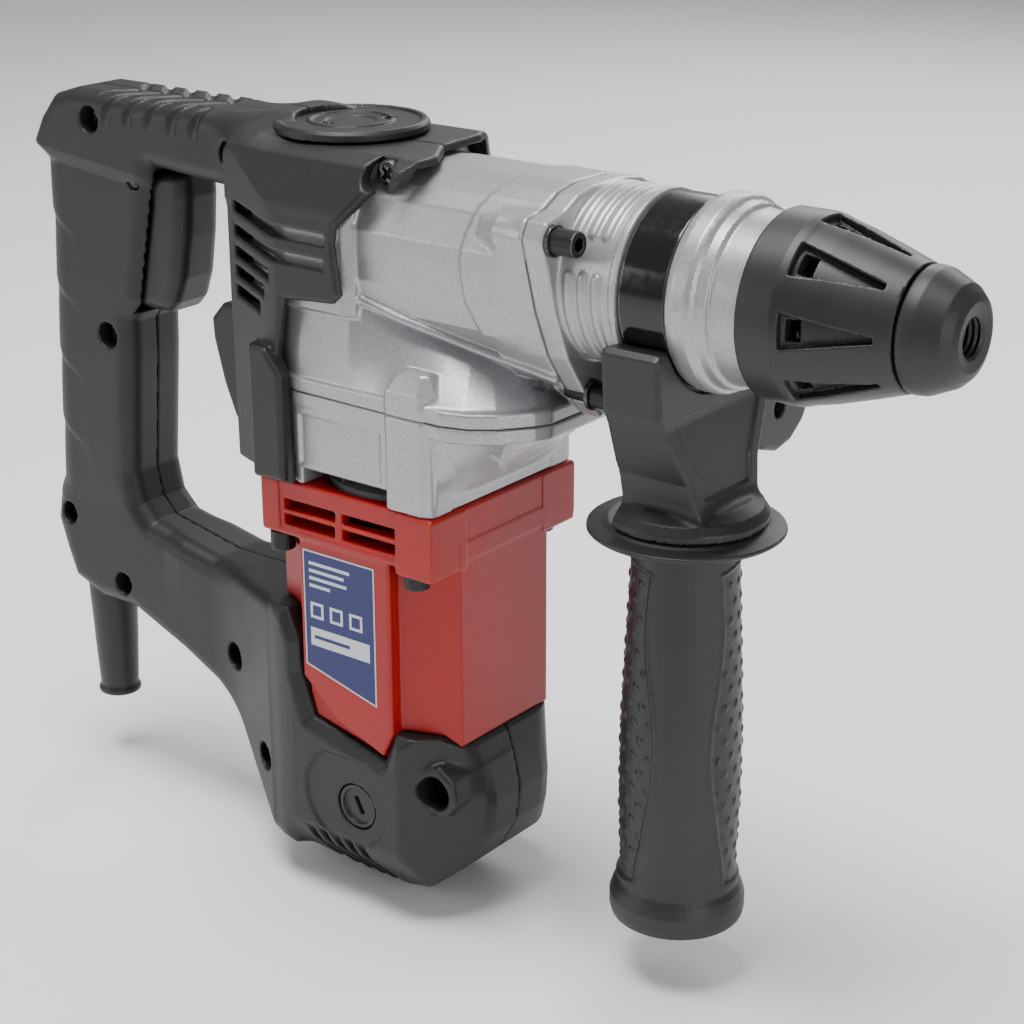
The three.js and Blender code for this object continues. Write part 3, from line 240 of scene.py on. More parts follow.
def moulded(name, field, low, high, step, body, material, slot, *nodes):
    """A piece whose surface is where its field is zero, in place of CAD nodes, moving with a body."""
    points, quads, normals = skin(field, low, high, step * (1.0))
    piece = surface(name, (points + AXIS) * MM, quads)
    piece.data.normals_split_custom_set_from_vertices(normals.tolist())
    piece.data.materials.append(material)
    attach(piece, body)
    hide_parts(*nodes)
    return piece


def group_of(name, inputs, outputs):
    """A new shader group with float or colour sockets, and its input and output nodes."""
    group = bpy.data.node_groups.new(name, "ShaderNodeTree")
    for label, value in inputs.items():
        kind = "NodeSocketFloat" if isinstance(value, (int, float)) else "NodeSocketColor"
        group.interface.new_socket(label, in_out="INPUT", socket_type=kind).default_value = value
    for label, kind in outputs.items():
        group.interface.new_socket(label, in_out="OUTPUT", socket_type=kind)
    return group, group.nodes.new("NodeGroupInput"), group.nodes.new("NodeGroupOutput")


def node(tree, kind, links=None, **settings):
    """A node with its settings, and its input sockets wired or set."""
    made = tree.nodes.new(kind)
    for key, value in settings.items():
        setattr(made, key, value)
    for key, value in (links or {}).items():
        if isinstance(value, bpy.types.NodeSocket):
            tree.links.new(value, made.inputs[key])
        else:
            made.inputs[key].default_value = value
    return made


# grain of a mould's spark-eroded wall: two sizes of noise for the height, and slow shade changes
grain, grain_in, grain_out = group_of("spark_grain", {"Size": 1500.0}, {"Height": "NodeSocketFloat",
                                                                        "Shade": "NodeSocketFloat"})
grain_place = node(grain, "ShaderNodeTexCoord").outputs["Object"]
grain_fine = node(grain, "ShaderNodeTexNoise", {"Vector": grain_place, "Scale": grain_in.outputs["Size"],
                                                "Detail": 3.0, "Roughness": 0.6})
grain_slow = node(grain, "ShaderNodeTexNoise", {"Vector": grain_place, "Scale": 26.0, "Detail": 4.0})
grain.links.new(grain_fine.outputs["Fac"], grain_out.inputs["Height"])
grain_sum = node(grain, "ShaderNodeMath", {0: grain_fine.outputs["Fac"], 1: grain_slow.outputs["Fac"]},
                 operation="ADD")
grain_half = node(grain, "ShaderNodeMath", {0: grain_sum.outputs[0], 1: 0.5}, operation="MULTIPLY")
grain.links.new(grain_half.outputs[0], grain_out.inputs["Shade"])

# painted highlight and rub on the proud edges, from how sharply the surface bends, broken up by noise
edge_highlight_wear, edge_highlight_wear_in, edge_highlight_wear_out = group_of("edge_highlight_and_wear", {"Start": 0.53, "End": 0.62}, {"Mask": "NodeSocketFloat"})
edge_highlight_wear_bend = node(edge_highlight_wear, "ShaderNodeNewGeometry").outputs["Pointiness"]
edge_highlight_wear_noise = node(edge_highlight_wear, "ShaderNodeTexNoise", {"Vector": node(edge_highlight_wear, "ShaderNodeTexCoord").outputs["Object"],
                                             "Scale": 180.0, "Detail": 4.0})
edge_highlight_wear_ramp = node(edge_highlight_wear, "ShaderNodeMapRange", {"Value": edge_highlight_wear_bend, "From Min": edge_highlight_wear_in.outputs["Start"],
                                            "From Max": edge_highlight_wear_in.outputs["End"]})
edge_highlight_wear_mix = node(edge_highlight_wear, "ShaderNodeMath", {0: edge_highlight_wear_ramp.outputs[0], 1: edge_highlight_wear_noise.outputs["Fac"]},
               operation="MULTIPLY")
edge_highlight_wear.links.new(edge_highlight_wear_mix.outputs[0], edge_highlight_wear_out.inputs["Mask"])


def group_node(tree, group, **values):
    """One of the shared groups placed in a material with its own values."""
    made = node(tree, "ShaderNodeGroup", node_tree=group)
    for key, value in values.items():
        made.inputs[key].default_value = value
    return made


def colour_mix(tree, factor, a, b):
    """The socket of a colour that goes from a to b with a factor; each is a colour or another socket."""
    made = tree.nodes.new("ShaderNodeMix")
    made.data_type = "RGBA"
    tree.links.new(factor, made.inputs[0])
    for place, value in ((6, a), (7, b)):
        if isinstance(value, bpy.types.NodeSocket):
            tree.links.new(value, made.inputs[place])
        else:
            made.inputs[place].default_value = (*value, 1.0)
    return made.outputs[2]


def finished(tree, shader, effect, low, high, strength, depth, shades=(0.0, 1.0)):
    """Roughness that goes from low to high as the effect's shade crosses the range shades, and a bump of
    the effect's height."""
    gloss = node(tree, "ShaderNodeMapRange", {"Value": effect.outputs["Shade"], "From Min": shades[0],
                                              "From Max": shades[1], "To Min": low, "To Max": high})
    tree.links.new(gloss.outputs[0], shader.inputs["Roughness"])
    bump = node(tree, "ShaderNodeBump", {"Height": effect.outputs["Height"], "Strength": strength,
                                         "Distance": depth})
    tree.links.new(bump.outputs[0], shader.inputs["Normal"])


def grained_plastic(name, dark, light, highlight_and_wear, roughness, depth=0.00006, size=1500.0):
    """Moulded plastic: colour between dark and light with the grain's shade, paler on the proud edges as
    painted highlight and rub, the roughness moving a little with it, and a bump of the grain's height."""
    material, shader = plain_material(name, dark, roughness)
    tree = material.node_tree
    pebble = group_node(tree, grain, Size=size)
    edges = group_node(tree, edge_highlight_wear)
    tone = node(tree, "ShaderNodeMapRange", {"Value": pebble.outputs["Shade"], "From Min": 0.35,
                                             "From Max": 0.65})
    base = colour_mix(tree, tone.outputs[0], dark, light)
    # the proud edges are paled towards the edge colour: painted highlight and rub
    final = colour_mix(tree, edges.outputs["Mask"], base, highlight_and_wear)
    tree.links.new(final, shader.inputs["Base Color"])
    finished(tree, shader, pebble, roughness - 0.07, roughness + 0.07, 0.5, depth, (0.3, 0.7))
    return material


shell_black = grained_plastic("shell_black", (0.0068, 0.0068, 0.0074), (0.0122, 0.0122, 0.0130),
                              (0.034, 0.034, 0.036), 0.48)

D_OUTLINE = [
    (-112, 30.5), (-150, 33), (-212, 33), (-222, 30), (-229, 22), (-234, 13), (-232.5, 8), (-232.5, -20),
    (-234.3, -60), (-236, -100), (-236.5, -112), (-239.3, -118), (-239.7, -131), (-234, -142), (-228, -152),
    (-214, -157), (-197, -157), (-172, -167), (-150, -178), (-138, -186), (-128, -200), (-112, -212),
    (-100, -214), (-98, -140), (-98, -30)]
HAND_OPENING = [
    (-124.5, -6), (-129, 3), (-138, 7.5), (-156, 8.5), (-174, 9.8), (-184.5, -40), (-190, -47), (-190.5, -60),
    (-194.5, -104), (-192, -115), (-186, -121), (-112, -135), (-112, -79), (-124.5, -79)]
COLUMN_SIDE = [
    (-46, 24), (-46, 30.5), (-118, 30.5), (-126, 24), (-126, -14), (-124.5, -78), (-90, -78), (-92, -55),
    (-98, -46), (-91, -16.5), (-71, -15), (-67.5, -12), (-70, 4), (-69, 9), (-61, 19)]
COLUMN_FRONT = [(-24.5, 31), (24.5, 31), (30, 27), (40, 10.5), (40, -90), (-40, -90), (-40, 10.5), (-30, 27)]
COLUMN_PLAN = [(-57, 0), (-58.5, 20), (-62, 27), (-66, 34), (-70, 40), (-94, 40), (-124, 29), (-128, 18),
               (-128, -18), (-124, -29), (-94, -40), (-66, -40), (-62, -36), (-50, -31), (-46.5, -24),
               (-48, -14)]
FOOT_SIDE = [
    (-33.5, -140), (-33.3, -162), (-27, -183), (-29.5, -195), (-37, -208), (-49, -218), (-62, -224.5),
    (-72, -226), (-88, -225), (-104, -217), (-106, -124)]
FOOT_PLAN = [(-27, 13), (-29, 17), (-50, 38.5), (-96, 38.5), (-112, 31), (-124, 22), (-124, -22), (-112, -31),
             (-96, -38.5), (-50, -38.5), (-29, -17), (-27, -13)]
FLARE_PLAN = [(-96, 37.5), (-110, 34), (-150, 13), (-150, -13), (-110, -34), (-96, -37.5)]
FLARE_SIDE = [(-160, -127), (-150, -129), (-99, -123), (-99, -213), (-112, -211), (-150, -177), (-160, -170)]
HOUSING_SEAT = [
    (-115, -78), (-20, -78), (-20, -161.8), (-34, -161.8), (-40, -157.8), (-53, -157.3), (-57.2, -167.8),
    (-88.8, -161.3), (-93.8, -146), (-94.3, -134.8), (-99.3, -124.3), (-115, -124.3)]
FIN_SIDE = [(-120, -33), (-147, -33), (-152.5, -39), (-152, -46), (-148, -61), (-143, -73), (-120, -80)]
RIB_SIDE = [(-106.5, -33), (-98, -33), (-91.5, -41), (-91.5, -76.5), (-106.5, -77)]
SWITCH_ROOM = [(-228, -2), (-228, -46), (-195.5, -46), (-188, -38), (-181, -2)]
TRIGGER_MOUTH = [(-168, 8.6), (-188.2, 8.6), (-188.2, -1.5), (-183.2, -4), (-192.5, -43.2), (-160, -43.2)]
# each screw well of the right shell: place x and z, radius, and how far from the middle plane it ends
RIGHT_WELLS = [(-201.7, 23.5, 4.6, 9.0), (-133.9, 19.7, 4.9, 9.0), (-201, -53, 4.6, 7.5),
               (-228.2, -126.1, 4.2, 8.0), (-200.1, -147.4, 4.2, 8.0), (-141.1, -159.4, 4.9, 8.0),
               (-115.9, -185.8, 4.9, 14.0)]
CAP_CENTRE = (-95.7, 0.0)
MOTOR_X = -69.0
MOTOR_ROOM = 30.6                      # radius round the field windings
BOOT_X = -223.0
TRIGGER_PIVOT = (-183.0, 4.0)
DECK_SCREW = (-58.5, 25.0)
HALF_GAP = 0.2                         # from each half shell to the middle plane
BRUSH_PLACE = (-69.0, -188.0)


def shell_field(side):
    """The half shell on one side. Side is -1 for the right hand, +1 for the left."""
    def field(x, y, z):
        u = y * side
        # the grip is nearly oval in section, and the head over it stands proud of it with a sloping ledge
        below = np.clip((9 - z - 0.10 * (x + 200)) / 4.5, 0, 1) * np.clip((-170 - x) / 8, 0, 1)
        low_end = np.clip((z + 150) / 30, 0, 1)
        handle = plate(cut(outline(x, z, D_OUTLINE), outline(x, z, HAND_OPENING)),
                       span(y, -15.8, 15.8) + 1.5 * below * low_end,
                       7.0 + 5.5 * below * low_end * np.clip((-198 - x) / 10, 0, 1))
        # shallow crossing grooves over the top bar, and scales down the back of the grip
        turn = (x + 0.9 * np.abs(y) + 150.0) / 10.4
        over_top = np.clip((z - 22) / 5, 0, 1) * np.clip((-147 - x) / 3, 0, 1) * np.clip((x + 199) / 3, 0, 1)
        handle = handle + 1.25 * over_top * np.clip(np.sin(2 * np.pi * turn) * 1.4, 0, 1) ** 1.5
        scale = ((z + 6 + 0.55 * (x + 236)) / 26.5) % 1.0
        behind = np.clip((-214 - x) / 10, 0, 1) * np.clip((8 - z) / 3, 0, 1) * np.clip((z + 112) / 3, 0, 1)
        handle = handle + 0.6 * behind * np.where(scale < 0.9, (scale / 0.9) ** 2, (1 - scale) / 0.1)
        column = shared(plate(outline(x, z, COLUMN_SIDE), span(y, -40, 40), 2.0),
                        np.maximum(outline(y, z, COLUMN_FRONT), outline(x, y, COLUMN_PLAN)), 3.0)
        body = joined(handle, column, 6.0 + 14.0 * np.clip((z - 2) / 8, 0, 1))
        rib = plate(outline(x, z, RIB_SIDE), u - 42 + np.clip(-x - 104, 0, 3), 1.6)
        body = joined(body, np.maximum(rib, 30 - u), 0.8)
        body = joined(body, plate(outline(x, z, FIN_SIDE), span(y, -11, 11), 2.4), 1.5)
        flare = plate(outline(x, z, FLARE_SIDE), span(y, -38, 38), 6.0)
        flare = shared(flare, outline(x, y, FLARE_PLAN), 5.0)
        body = joined(body, flare, 5.0)
        foot = plate(outline(x, z, FOOT_SIDE), span(y, -38.5, 38.5), 7.5)
        foot = shared(foot, outline(x, y, FOOT_PLAN), 4.0)
        belly = outline(y, z, [(-39, -110), (-38.6, -200), (-33, -208.5), (-15, -226), (15, -226),
                               (33, -208.5), (38.6, -200), (39, -110)])
        foot = shared(foot, belly, 2.0)
        body = joined(body, foot, 5.0)
        # the side of the motor end: a flat round the brush cap, lower in front of it and below it
        away = disc(x, z, -73.0, -186.0, 17.5)
        dish = np.maximum(np.maximum(36.6 - u, away), np.maximum(x + 52, z + 171))
        body = cut(body, dish, 1.2)
        seat = outline(x, z, HOUSING_SEAT)
        # the motor end draws in towards the red housing, above which it is left alone
        body = shared(body, (u - 34.2 - 0.9 * seat) / 1.35 - 100.0 * (z > -120), 1.0)
        body = cut(body, seat, 0.4)
        # room for the cases, the motor and its flange
        room = np.maximum(outline(x, y, [(-60, 37), (-91, 37), (-115.8, 28.2), (-119, 20), (-119, -20),
                                         (-115.8, -28.2), (-91, -37), (-60, -37)]), span(z, -80, 27.6))
        room = with_room(room, span(x, -60.5, -20), span(y, -37, 37), span(z, -80, 27.6))
        room = with_room(room, span(x, -90.2, -20), span(z, -80, -15.8))
        flange = outline(x, y, [(-33, 37.4), (-106.2, 37.4), (-111.4, 32.2), (-111.4, -32.2), (-106.2, -37.4),
                                (-33, -37.4)])
        room = with_room(room, flange, span(z, -97.3, -77.9))
        room = with_room(room, disc(x, y, MOTOR_X, 0, MOTOR_ROOM), span(z, -205, -120))
        room = with_room(room, disc(x, y, MOTOR_X, 0, 9.8), span(z, -218, -200))
        chest = outline(y, z, [(-37, -100), (-37, 8.6), (-31.5, 15), (-25.2, 27.4), (25.2, 27.4), (31.5, 15),
                               (37, 8.6), (37, -100)])
        body = cut(body, np.maximum(room, np.where(z > -30, chest, -50)), 0.5)
        # switch room and trigger mouth
        body = cut(body, np.maximum(outline(x, z, SWITCH_ROOM), u - 10.4), 0.5)
        body = cut(body, np.maximum(outline(x, z, TRIGGER_MOUTH), u - 10.9), 0.4)
        body = cut(body, np.maximum(disc(x, z, *TRIGGER_PIVOT, 2.7), u - 14.2), 0.2)
        # cover seat, boot seat and the brush cap's counterbore
        body = cut(body, np.maximum(disc(x, y, *CAP_CENTRE, 17.6), 26 - z), 0.4)
        body = cut(body, np.maximum(disc(x, y, BOOT_X, 0, 9.4), span(z, -171, -149)), 0.4)
        brush = disc(x, z, *BRUSH_PLACE, 8.2)
        body = cut(body, np.maximum(brush, 28 - u), 0.3)
        # long air slots round the rear corner and three short ones under them
        for front, level in ((-73, 4.6), (-74, -3.2), (-98, -10.2), (-101, -16.6), (-104, -23)):
            rise = z + 0.14 * (x + 95) * (x < -95)
            slot = np.maximum(span(x, -119, front), span(rise, level - 1.9, level + 1.9))
            body = cut(body, np.maximum(slot, 27 - u), 0.7)
        # cooling flutes across the lowest part of the motor end
        under = np.maximum(-226 + 17.5 * np.clip((np.abs(y) - 15) / 18, 0, 1.3),
                           np.interp(x, (-106, -104, -88, -72), (-216, -217, -225, -226)))
        for middle_x in (-90, -84.5, -79, -73.5, -68):
            body = cut(body, np.maximum(np.abs(x - middle_x) - 1.7, z - under - 3.6), 0.8)
        if side < 0:
            for wx, wz, radius, depth in RIGHT_WELLS:
                body = cut(body, np.maximum(disc(x, z, wx, wz, radius), depth - u), 0.8)
            boss = plate(outline(x, z, [(-50, -177), (-46.5, -168.5), (-38, -166), (-32, -170), (-31, -178),
                                        (-36, -184.5), (-45, -184)]), span(u, 0, 31.5), 2.0)
            body = joined(body, boss, 2.5)
            body = cut(body, np.maximum(disc(x, z, -39.5, -176.0, 5.9), 18.5 - u), 0.8)
            body = cut(body, np.maximum(disc(x, z, *DECK_SCREW, 5.3), 23.5 - u), 0.8)
        return shared(body, HALF_GAP - u, 0.5)
    return field


for hand, side in (("right", -1), ("left", 1)):
    moulded(f"shell_{hand}", shell_field(side), (-242, min(0, side * 44) - 1.5, -228.5),
            (-24, max(0, side * 44) + 1.5, 36), 1.0, "housing", shell_black, "shell_plastic",
            f"handle_shell_{hand}")

# ---- Trigger -------------------------------------------------------------------------
# A satin nylon paddle with a flat front and softly rounded sides. It swings on two pips moulded into its
# sides, held between the shells.
TRIGGER_SIDE = [
    (-164.5, 7.6), (-186.5, 7.6), (-187, 0.5), (-181.5, -3), (-190.5, -41), (-186, -42.2), (-175, -41.8),
    (-171.5, -38), (-168, -29), (-165.2, -14), (-163.8, 0)]


def trigger_field(x, y, z):
    """The paddle's side view, narrowed towards its front, and its two pips."""
    narrow = 1.2 * np.clip((x + 176) / 12, 0, 1) ** 2
    paddle = plate(outline(x, z, TRIGGER_SIDE), span(y, -10.2, 10.2) + narrow, 5.0)
    return np.minimum(paddle, np.maximum(disc(x, z, *TRIGGER_PIVOT, 2.4), span(y, -13.9, 13.9)))


trigger_black = grained_plastic("trigger_black", (0.0090, 0.0090, 0.0095), (0.0145, 0.0145, 0.0150),
                                (0.035, 0.035, 0.036), 0.45, 0.00003, 2600.0)
moulded("trigger_paddle", trigger_field, (-194, -15.5, -45), (-161, 15.5, 11), 0.8, "trigger", trigger_black,
        "shell_plastic", "trigger")

# ---- Gearbox case and fan case -------------------------------------------------------
# Two aluminium pressure castings, one standing on the other with a fine split line, painted silver. The nose
# is faceted and flares into a bowed lip. The corner posts carry the long screws from the motor housing.


def both(points):
    """A symmetric outline from its half on the positive side of the second coordinate."""
    return points + [(a, -b) for a, b in reversed(points)]


NOSE_FRONT = [(b, a) for a, b in both([(27, 8), (25.5, 16), (21.8, 23), (20, 31.5), (14.8, 34.3), (4, 31),
                                       (-8, 27.5), (-23, 21), (-40, 9), (-45, 4)])]
NOSE_REAR = [(b, a) for a, b in both([(27, 8), (25.5, 16), (22.8, 22), (18.5, 27), (8, 31.8), (2, 32),
                                      (-8, 31.5), (-18, 28), (-33, 14), (-36, 6)])]
REAR_PLAN = both([(-68, 31.2), (-72, 34.2), (-94, 34.2), (-115, 27), (-118, 19)])
REAR_VIEW = [(-34, -30), (-34, 8), (-23.8, 26.4), (23.8, 26.4), (34, 8), (34, -30)]
LIP_PLAN = both([(-5, 14), (-7.5, 19.5), (-14.5, 28.5), (-22, 34), (-31, 36.7), (-90, 36.3), (-115, 27.6),
                 (-118.5, 19)])
SKIRT_FOOT = both([(-8, 12), (-10.5, 18), (-17, 26), (-25, 32), (-35, 35.4), (-54, 36.2), (-90, 35.4),
                   (-114, 27), (-118, 19)])
SKIRT_TOP = both([(-40, 2), (-45, 8), (-51, 14.5), (-58, 20.5), (-65, 25.5), (-71, 29.4), (-95, 31.5),
                  (-114, 26.5), (-117.5, 19)])
POST_PLAN = [(-52, 26), (-52, 37.1), (-38.5, 37.1), (-34.8, 33.5), (-34.8, 26)]
COUNTER_X, CRANK_X = -45.0, -93.0
BARREL_SCREWS = [(-29.2, 14.8), (29.2, 14.8), (-9.2, -36.2), (9.2, -36.2)]
BORE = 23.2                            # radius of the bore round the hammer tube
SCREW_HOLE = 2.6
FAN_ROOM = 32.4                        # radius round the fan
FLANGE_SCREWS = [(-44, -32.5), (-44, 32.5), (-101.5, -32.5), (-101.5, 32.5)]


def gearbox_field(x, y, z):
    """The nose's end view, which changes over its front 12 mm, with a skirt below that spreads to the lip."""
    w = np.abs(y)
    ahead = np.clip((x + 16) / 14, 0, 1)
    nose = outline(y, z, NOSE_REAR) * (1 - ahead) + outline(y, z, NOSE_FRONT) * ahead
    arc = -27 + 7 * np.clip((z - 4) / 26, -1, 1) ** 2
    nose = nose - 0.9 * np.clip((x - arc) / 1.6, 0, 1) + 0.9
    body = shared(nose, span(x, -90, -2.0), 0.9)
    rear = np.maximum(outline(x, y, REAR_PLAN), span(z, -20, 26.6))
    body = joined(body, shared(rear, outline(y, z, REAR_VIEW), 0.6), 1.5)
    lift = np.clip((z + 42) / 30, 0, 1)
    skirt = outline(x, y, SKIRT_FOOT) * (1 - lift) + outline(x, y, SKIRT_TOP) * lift
    skirt = np.maximum(skirt * 0.86, span(z, -46.6, -9))
    body = joined(body, skirt, 1.6)
    # a raised line where the skirt leaves the nose, and swollen seats for the barrel's upper screws
    line = [(-74, 29.6, -13), (-53, 27.9, -18.6), (-22, 21.0, -26.6), (-3, 15.2, -31.6)]
    bead = 99.0
    for (x0, y0, z0), (x1, y1, z1) in zip(line, line[1:]):
        share = np.clip(((x - x0) * (x1 - x0) + (w - y0) * (y1 - y0) + (z - z0) * (z1 - z0)) /
                        ((x1 - x0) ** 2 + (y1 - y0) ** 2 + (z1 - z0) ** 2), 0, 1)
        away = np.sqrt((x - x0 - (x1 - x0) * share) ** 2 + (w - y0 - (y1 - y0) * share) ** 2 +
                       (z - z0 - (z1 - z0) * share) ** 2)
        bead = np.minimum(bead, away - 1.3)
    body = joined(body, np.maximum(bead, x + 2), 1.4)
    seat = np.hypot(w - 28.6, z - 14.8) - 5.6 * np.clip((x + 26) / 14, 0.3, 1)
    body = joined(body, np.maximum(seat, span(x, -20, -2.0)), 2.5)
    body = joined(body, plate(outline(x, y, LIP_PLAN), span(z, -46.7, -42.0), 0.7), 0.7)
    slope = np.clip((z + 39) * 0.55, 0, 9)
    post = plate(outline(x, w, POST_PLAN) + slope, span(z, -46.7, -33), 1.0)
    body = joined(body, np.maximum(post, z + 33), 1.2)
    rooms = np.maximum(np.hypot(y, z) - BORE, -66 - x)
    rooms = with_room(rooms, disc(x, y, CRANK_X, 0, 19.2), span(z, -25, 24))
    rooms = with_room(rooms, span(x, CRANK_X, -60), span(y, -16, 16), span(z, -17, 17))
    wheels = np.minimum(disc(x, y, CRANK_X, 0, 21.9), disc(x, y, COUNTER_X, 0, 21.9))
    wheels = np.minimum(wheels, np.maximum(span(x, CRANK_X, COUNTER_X), span(y, -9, 9)))
    rooms = with_room(rooms, wheels, z + 35.5)
    rooms = with_room(rooms, disc(x, y, MOTOR_X, 0, 8), z + 30)
    for centre in (CRANK_X, COUNTER_X):
        rooms = with_room(rooms, disc(x, y, centre, 0, 11.3), span(z, -38, -25.2))
        rooms = with_room(rooms, disc(x, y, centre, 0, 8), span(z, -30, -14))
    rooms = with_room(rooms, disc(x, y, *CAP_CENTRE, 17.5), 20 - z)
    rooms = with_room(rooms, disc(x, z, -38, 0, 6.3), 20 - y)
    for sy, sz in BARREL_SCREWS:
        rooms = with_room(rooms, np.hypot(y - sy, z - sz) - SCREW_HOLE, -14 - x)
    return cut(body, rooms, 0.4)


def fan_case_field(x, y, z):
    """The lower case: a straight body, the bowed lip on a sloping shelf, posts, and notches by the fan."""
    w = np.abs(y)
    plan = both([(-35, 36), (-90, 36), (-115, 27.6), (-118.5, 19)])
    body = plate(outline(x, y, plan), span(z, -78, -50), 0.8)
    body = joined(body, plate(outline(x, y, LIP_PLAN), span(z, -51.6, -47), 0.7), 0.6)
    lift = np.clip((z + 74) / 23, 0, 1)
    shelf = outline(x, y, [(-60, -34), (-60, 34), (-35, 34), (-35, -34)]) * (1 - lift)
    shelf = shelf + outline(x, y, [(-60, -35), (-60, 35), (-29, 35), (-13, 27), (-8, 15), (-8, -15),
                                   (-13, -27), (-29, -35)]) * lift
    body = joined(body, np.maximum(shelf * 0.8, span(z, -74, -50.5)), 1.0)
    post = plate(outline(x, w, POST_PLAN), span(z, -78, -47.3), 1.0)
    body = joined(body, post, 1.2)
    # hollow panel in each side and a wedge-shaped one in the shelf
    panel = plate(span(x, -89, -55.5), 35.2 - w, 0.4)
    body = cut(body, np.maximum(panel, span(z, -70.5, -54.5)), 1.0)
    wedge = outline(w, z, [(4, -56), (26, -56), (4, -70)])
    body = cut(body, np.maximum(wedge, -shelf - 0.5), 0.8)
    body = cut(body, np.maximum(np.maximum(span(x, -88.3, -52.3), 20 - w), z + 72.4), 0.7)
    rooms = np.maximum(disc(x, y, MOTOR_X, 0, FAN_ROOM), z + 59)
    rooms = with_room(rooms, disc(x, y, MOTOR_X, 0, 11.3), z + 49)
    rooms = with_room(rooms, disc(x, y, MOTOR_X, 0, 6))
    for centre in (CRANK_X, COUNTER_X):
        rooms = with_room(rooms, disc(x, y, centre, 0, 5.3), -56 - z)
    for sx, sy in FLANGE_SCREWS:
        rooms = with_room(rooms, disc(x, y, sx, sy, SCREW_HOLE), z + 62)
    return cut(body, rooms, 0.4)


def silver_paint(name, colour, roughness):
    """Silver paint over a rough casting: flakes of their own shade and tilt, a fine orange peel, and brighter
    proud edges, part painted highlight and part bare metal where they have rubbed."""
    material, shader = plain_material(name, colour, roughness, 0.55)
    tree = material.node_tree
    place = node(tree, "ShaderNodeTexCoord").outputs["Object"]
    flake = node(tree, "ShaderNodeTexVoronoi", {"Vector": place, "Scale": 2100.0})
    shade = node(tree, "ShaderNodeSeparateColor", {"Color": flake.outputs["Color"]})
    dark = tuple(c * 0.88 for c in colour)
    bright = tuple(min(1.0, c * 1.10) for c in colour)
    base = colour_mix(tree, shade.outputs[0], dark, bright)
    edges = group_node(tree, edge_highlight_wear, Start=0.56, End=0.74)
    # the proud edges go bright grey: painted highlight and bare metal where rubbed
    final = colour_mix(tree, edges.outputs["Mask"], base, (0.60, 0.60, 0.61))
    tree.links.new(final, shader.inputs["Base Color"])
    gloss = node(tree, "ShaderNodeMapRange", {"Value": shade.outputs[1], "To Min": roughness - 0.04,
                                              "To Max": roughness + 0.05})
    tree.links.new(gloss.outputs[0], shader.inputs["Roughness"])
    peel = group_node(tree, grain, Size=900.0)
    height = node(tree, "ShaderNodeMath", {0: peel.outputs["Height"], 1: shade.outputs[2]}, operation="ADD")
    bump = node(tree, "ShaderNodeBump", {"Height": height.outputs[0], "Strength": 0.14, "Distance": 0.00003})
    tree.links.new(bump.outputs[0], shader.inputs["Normal"])
    return material


silver = silver_paint("silver_painted", (0.40, 0.40, 0.415), 0.36)
moulded("gearbox_casting", gearbox_field, (-121, -39.5, -49), (0, 39.5, 30), 0.9, "housing", silver,
        "silver_paint", "gearbox_case")
moulded("fan_casting", fan_case_field, (-121, -39.5, -80.5), (-2, 39.5, -45), 0.9, "housing", silver,
        "silver_paint", "fan_case")

# ---- Motor housing -------------------------------------------------------------------
# One injection moulding in red nylon round the field windings. Its flange has two by two air slots on each
# side and takes the four long screws. Each side has a raised panel that ends in a slope below.
FLANGE_PLAN = both([(-34.3, 37), (-106, 37), (-111, 32)])
BODY_PLAN = both([(-34.3, 22.8), (-53, 31), (-53, 33), (-91, 33), (-92, 31.5), (-108, 25)])
BODY_SIDE = [
    (-115, -78), (-20, -78), (-20, -161.5), (-34, -161.5), (-40, -157.5), (-53, -157), (-57.5, -167.5),
    (-88.5, -161), (-93.5, -146), (-94, -134.5), (-99, -124), (-115, -124)]
PANEL_SIDE = [(-53, -90), (-53, -157.5), (-57, -166), (-77, -159), (-91.5, -146), (-91.5, -90)]


def housing_field(x, y, z):
    """The flange plate and a body of one plan, with a raised panel on each side, hollowed for the motor."""
    w = np.abs(y)
    body = shared(plate(outline(x, y, BODY_PLAN), z + 90, 0.8), outline(x, z, BODY_SIDE), 0.8)
    panel = plate(outline(x, z, PANEL_SIDE), span(w, 20, 36), 1.1)
    body = joined(body, panel, 0.6)
    flange = plate(outline(x, y, FLANGE_PLAN), span(z, -97, -78.3), 1.3)
    # the grille lies back a little, leaving a pad at each corner
    flange = cut(flange, np.maximum(np.maximum(span(x, -98.6, -48.6), 36.3 - w), span(z, -94.9, -70)), 0.4)
    body = joined(body, flange, 1.2)
    pad = plate(outline(x, w, [(-49, 20), (-49, 37.4), (-34, 37.4), (-34, 20)]), span(z, -99.4, -78.4), 1.2)
    body = joined(body, pad, 0.6)
    rooms = np.maximum(disc(x, y, MOTOR_X, 0, MOTOR_ROOM), -178 - z)
    rooms = with_room(rooms, disc(x, y, MOTOR_X, 0, FAN_ROOM), -90.5 - z)
    for x0, x1 in ((-97, -75), (-72, -49.5)):
        for level in (-86.3, -91.6):
            slot = plate(plate(span(x, x0, x1), span(z, level - 1.8, level + 1.8), 0.5), 27 - w, 0.0)
            rooms = with_room(rooms, slot)
    for sx, sy in FLANGE_SCREWS:
        rooms = with_room(rooms, disc(x, y, sx, sy, SCREW_HOLE))
    return cut(body, rooms, 0.5)


red_plastic = grained_plastic("red_nylon", (0.29, 0.0022, 0.0016), (0.36, 0.0034, 0.0024),
                              (0.48, 0.02, 0.012), 0.40, 0.00003, 1700.0)
moulded("red_housing", housing_field, (-114, -39.5, -171), (-31, 39.5, -76), 0.8, "housing", red_plastic,
        "red_plastic", "motor_housing")

# ---- Rating label --------------------------------------------------------------------
# A printed foil stuck on the right panel of the motor housing. Plain white strokes, three small marks and a
# white field stand in place of its print.


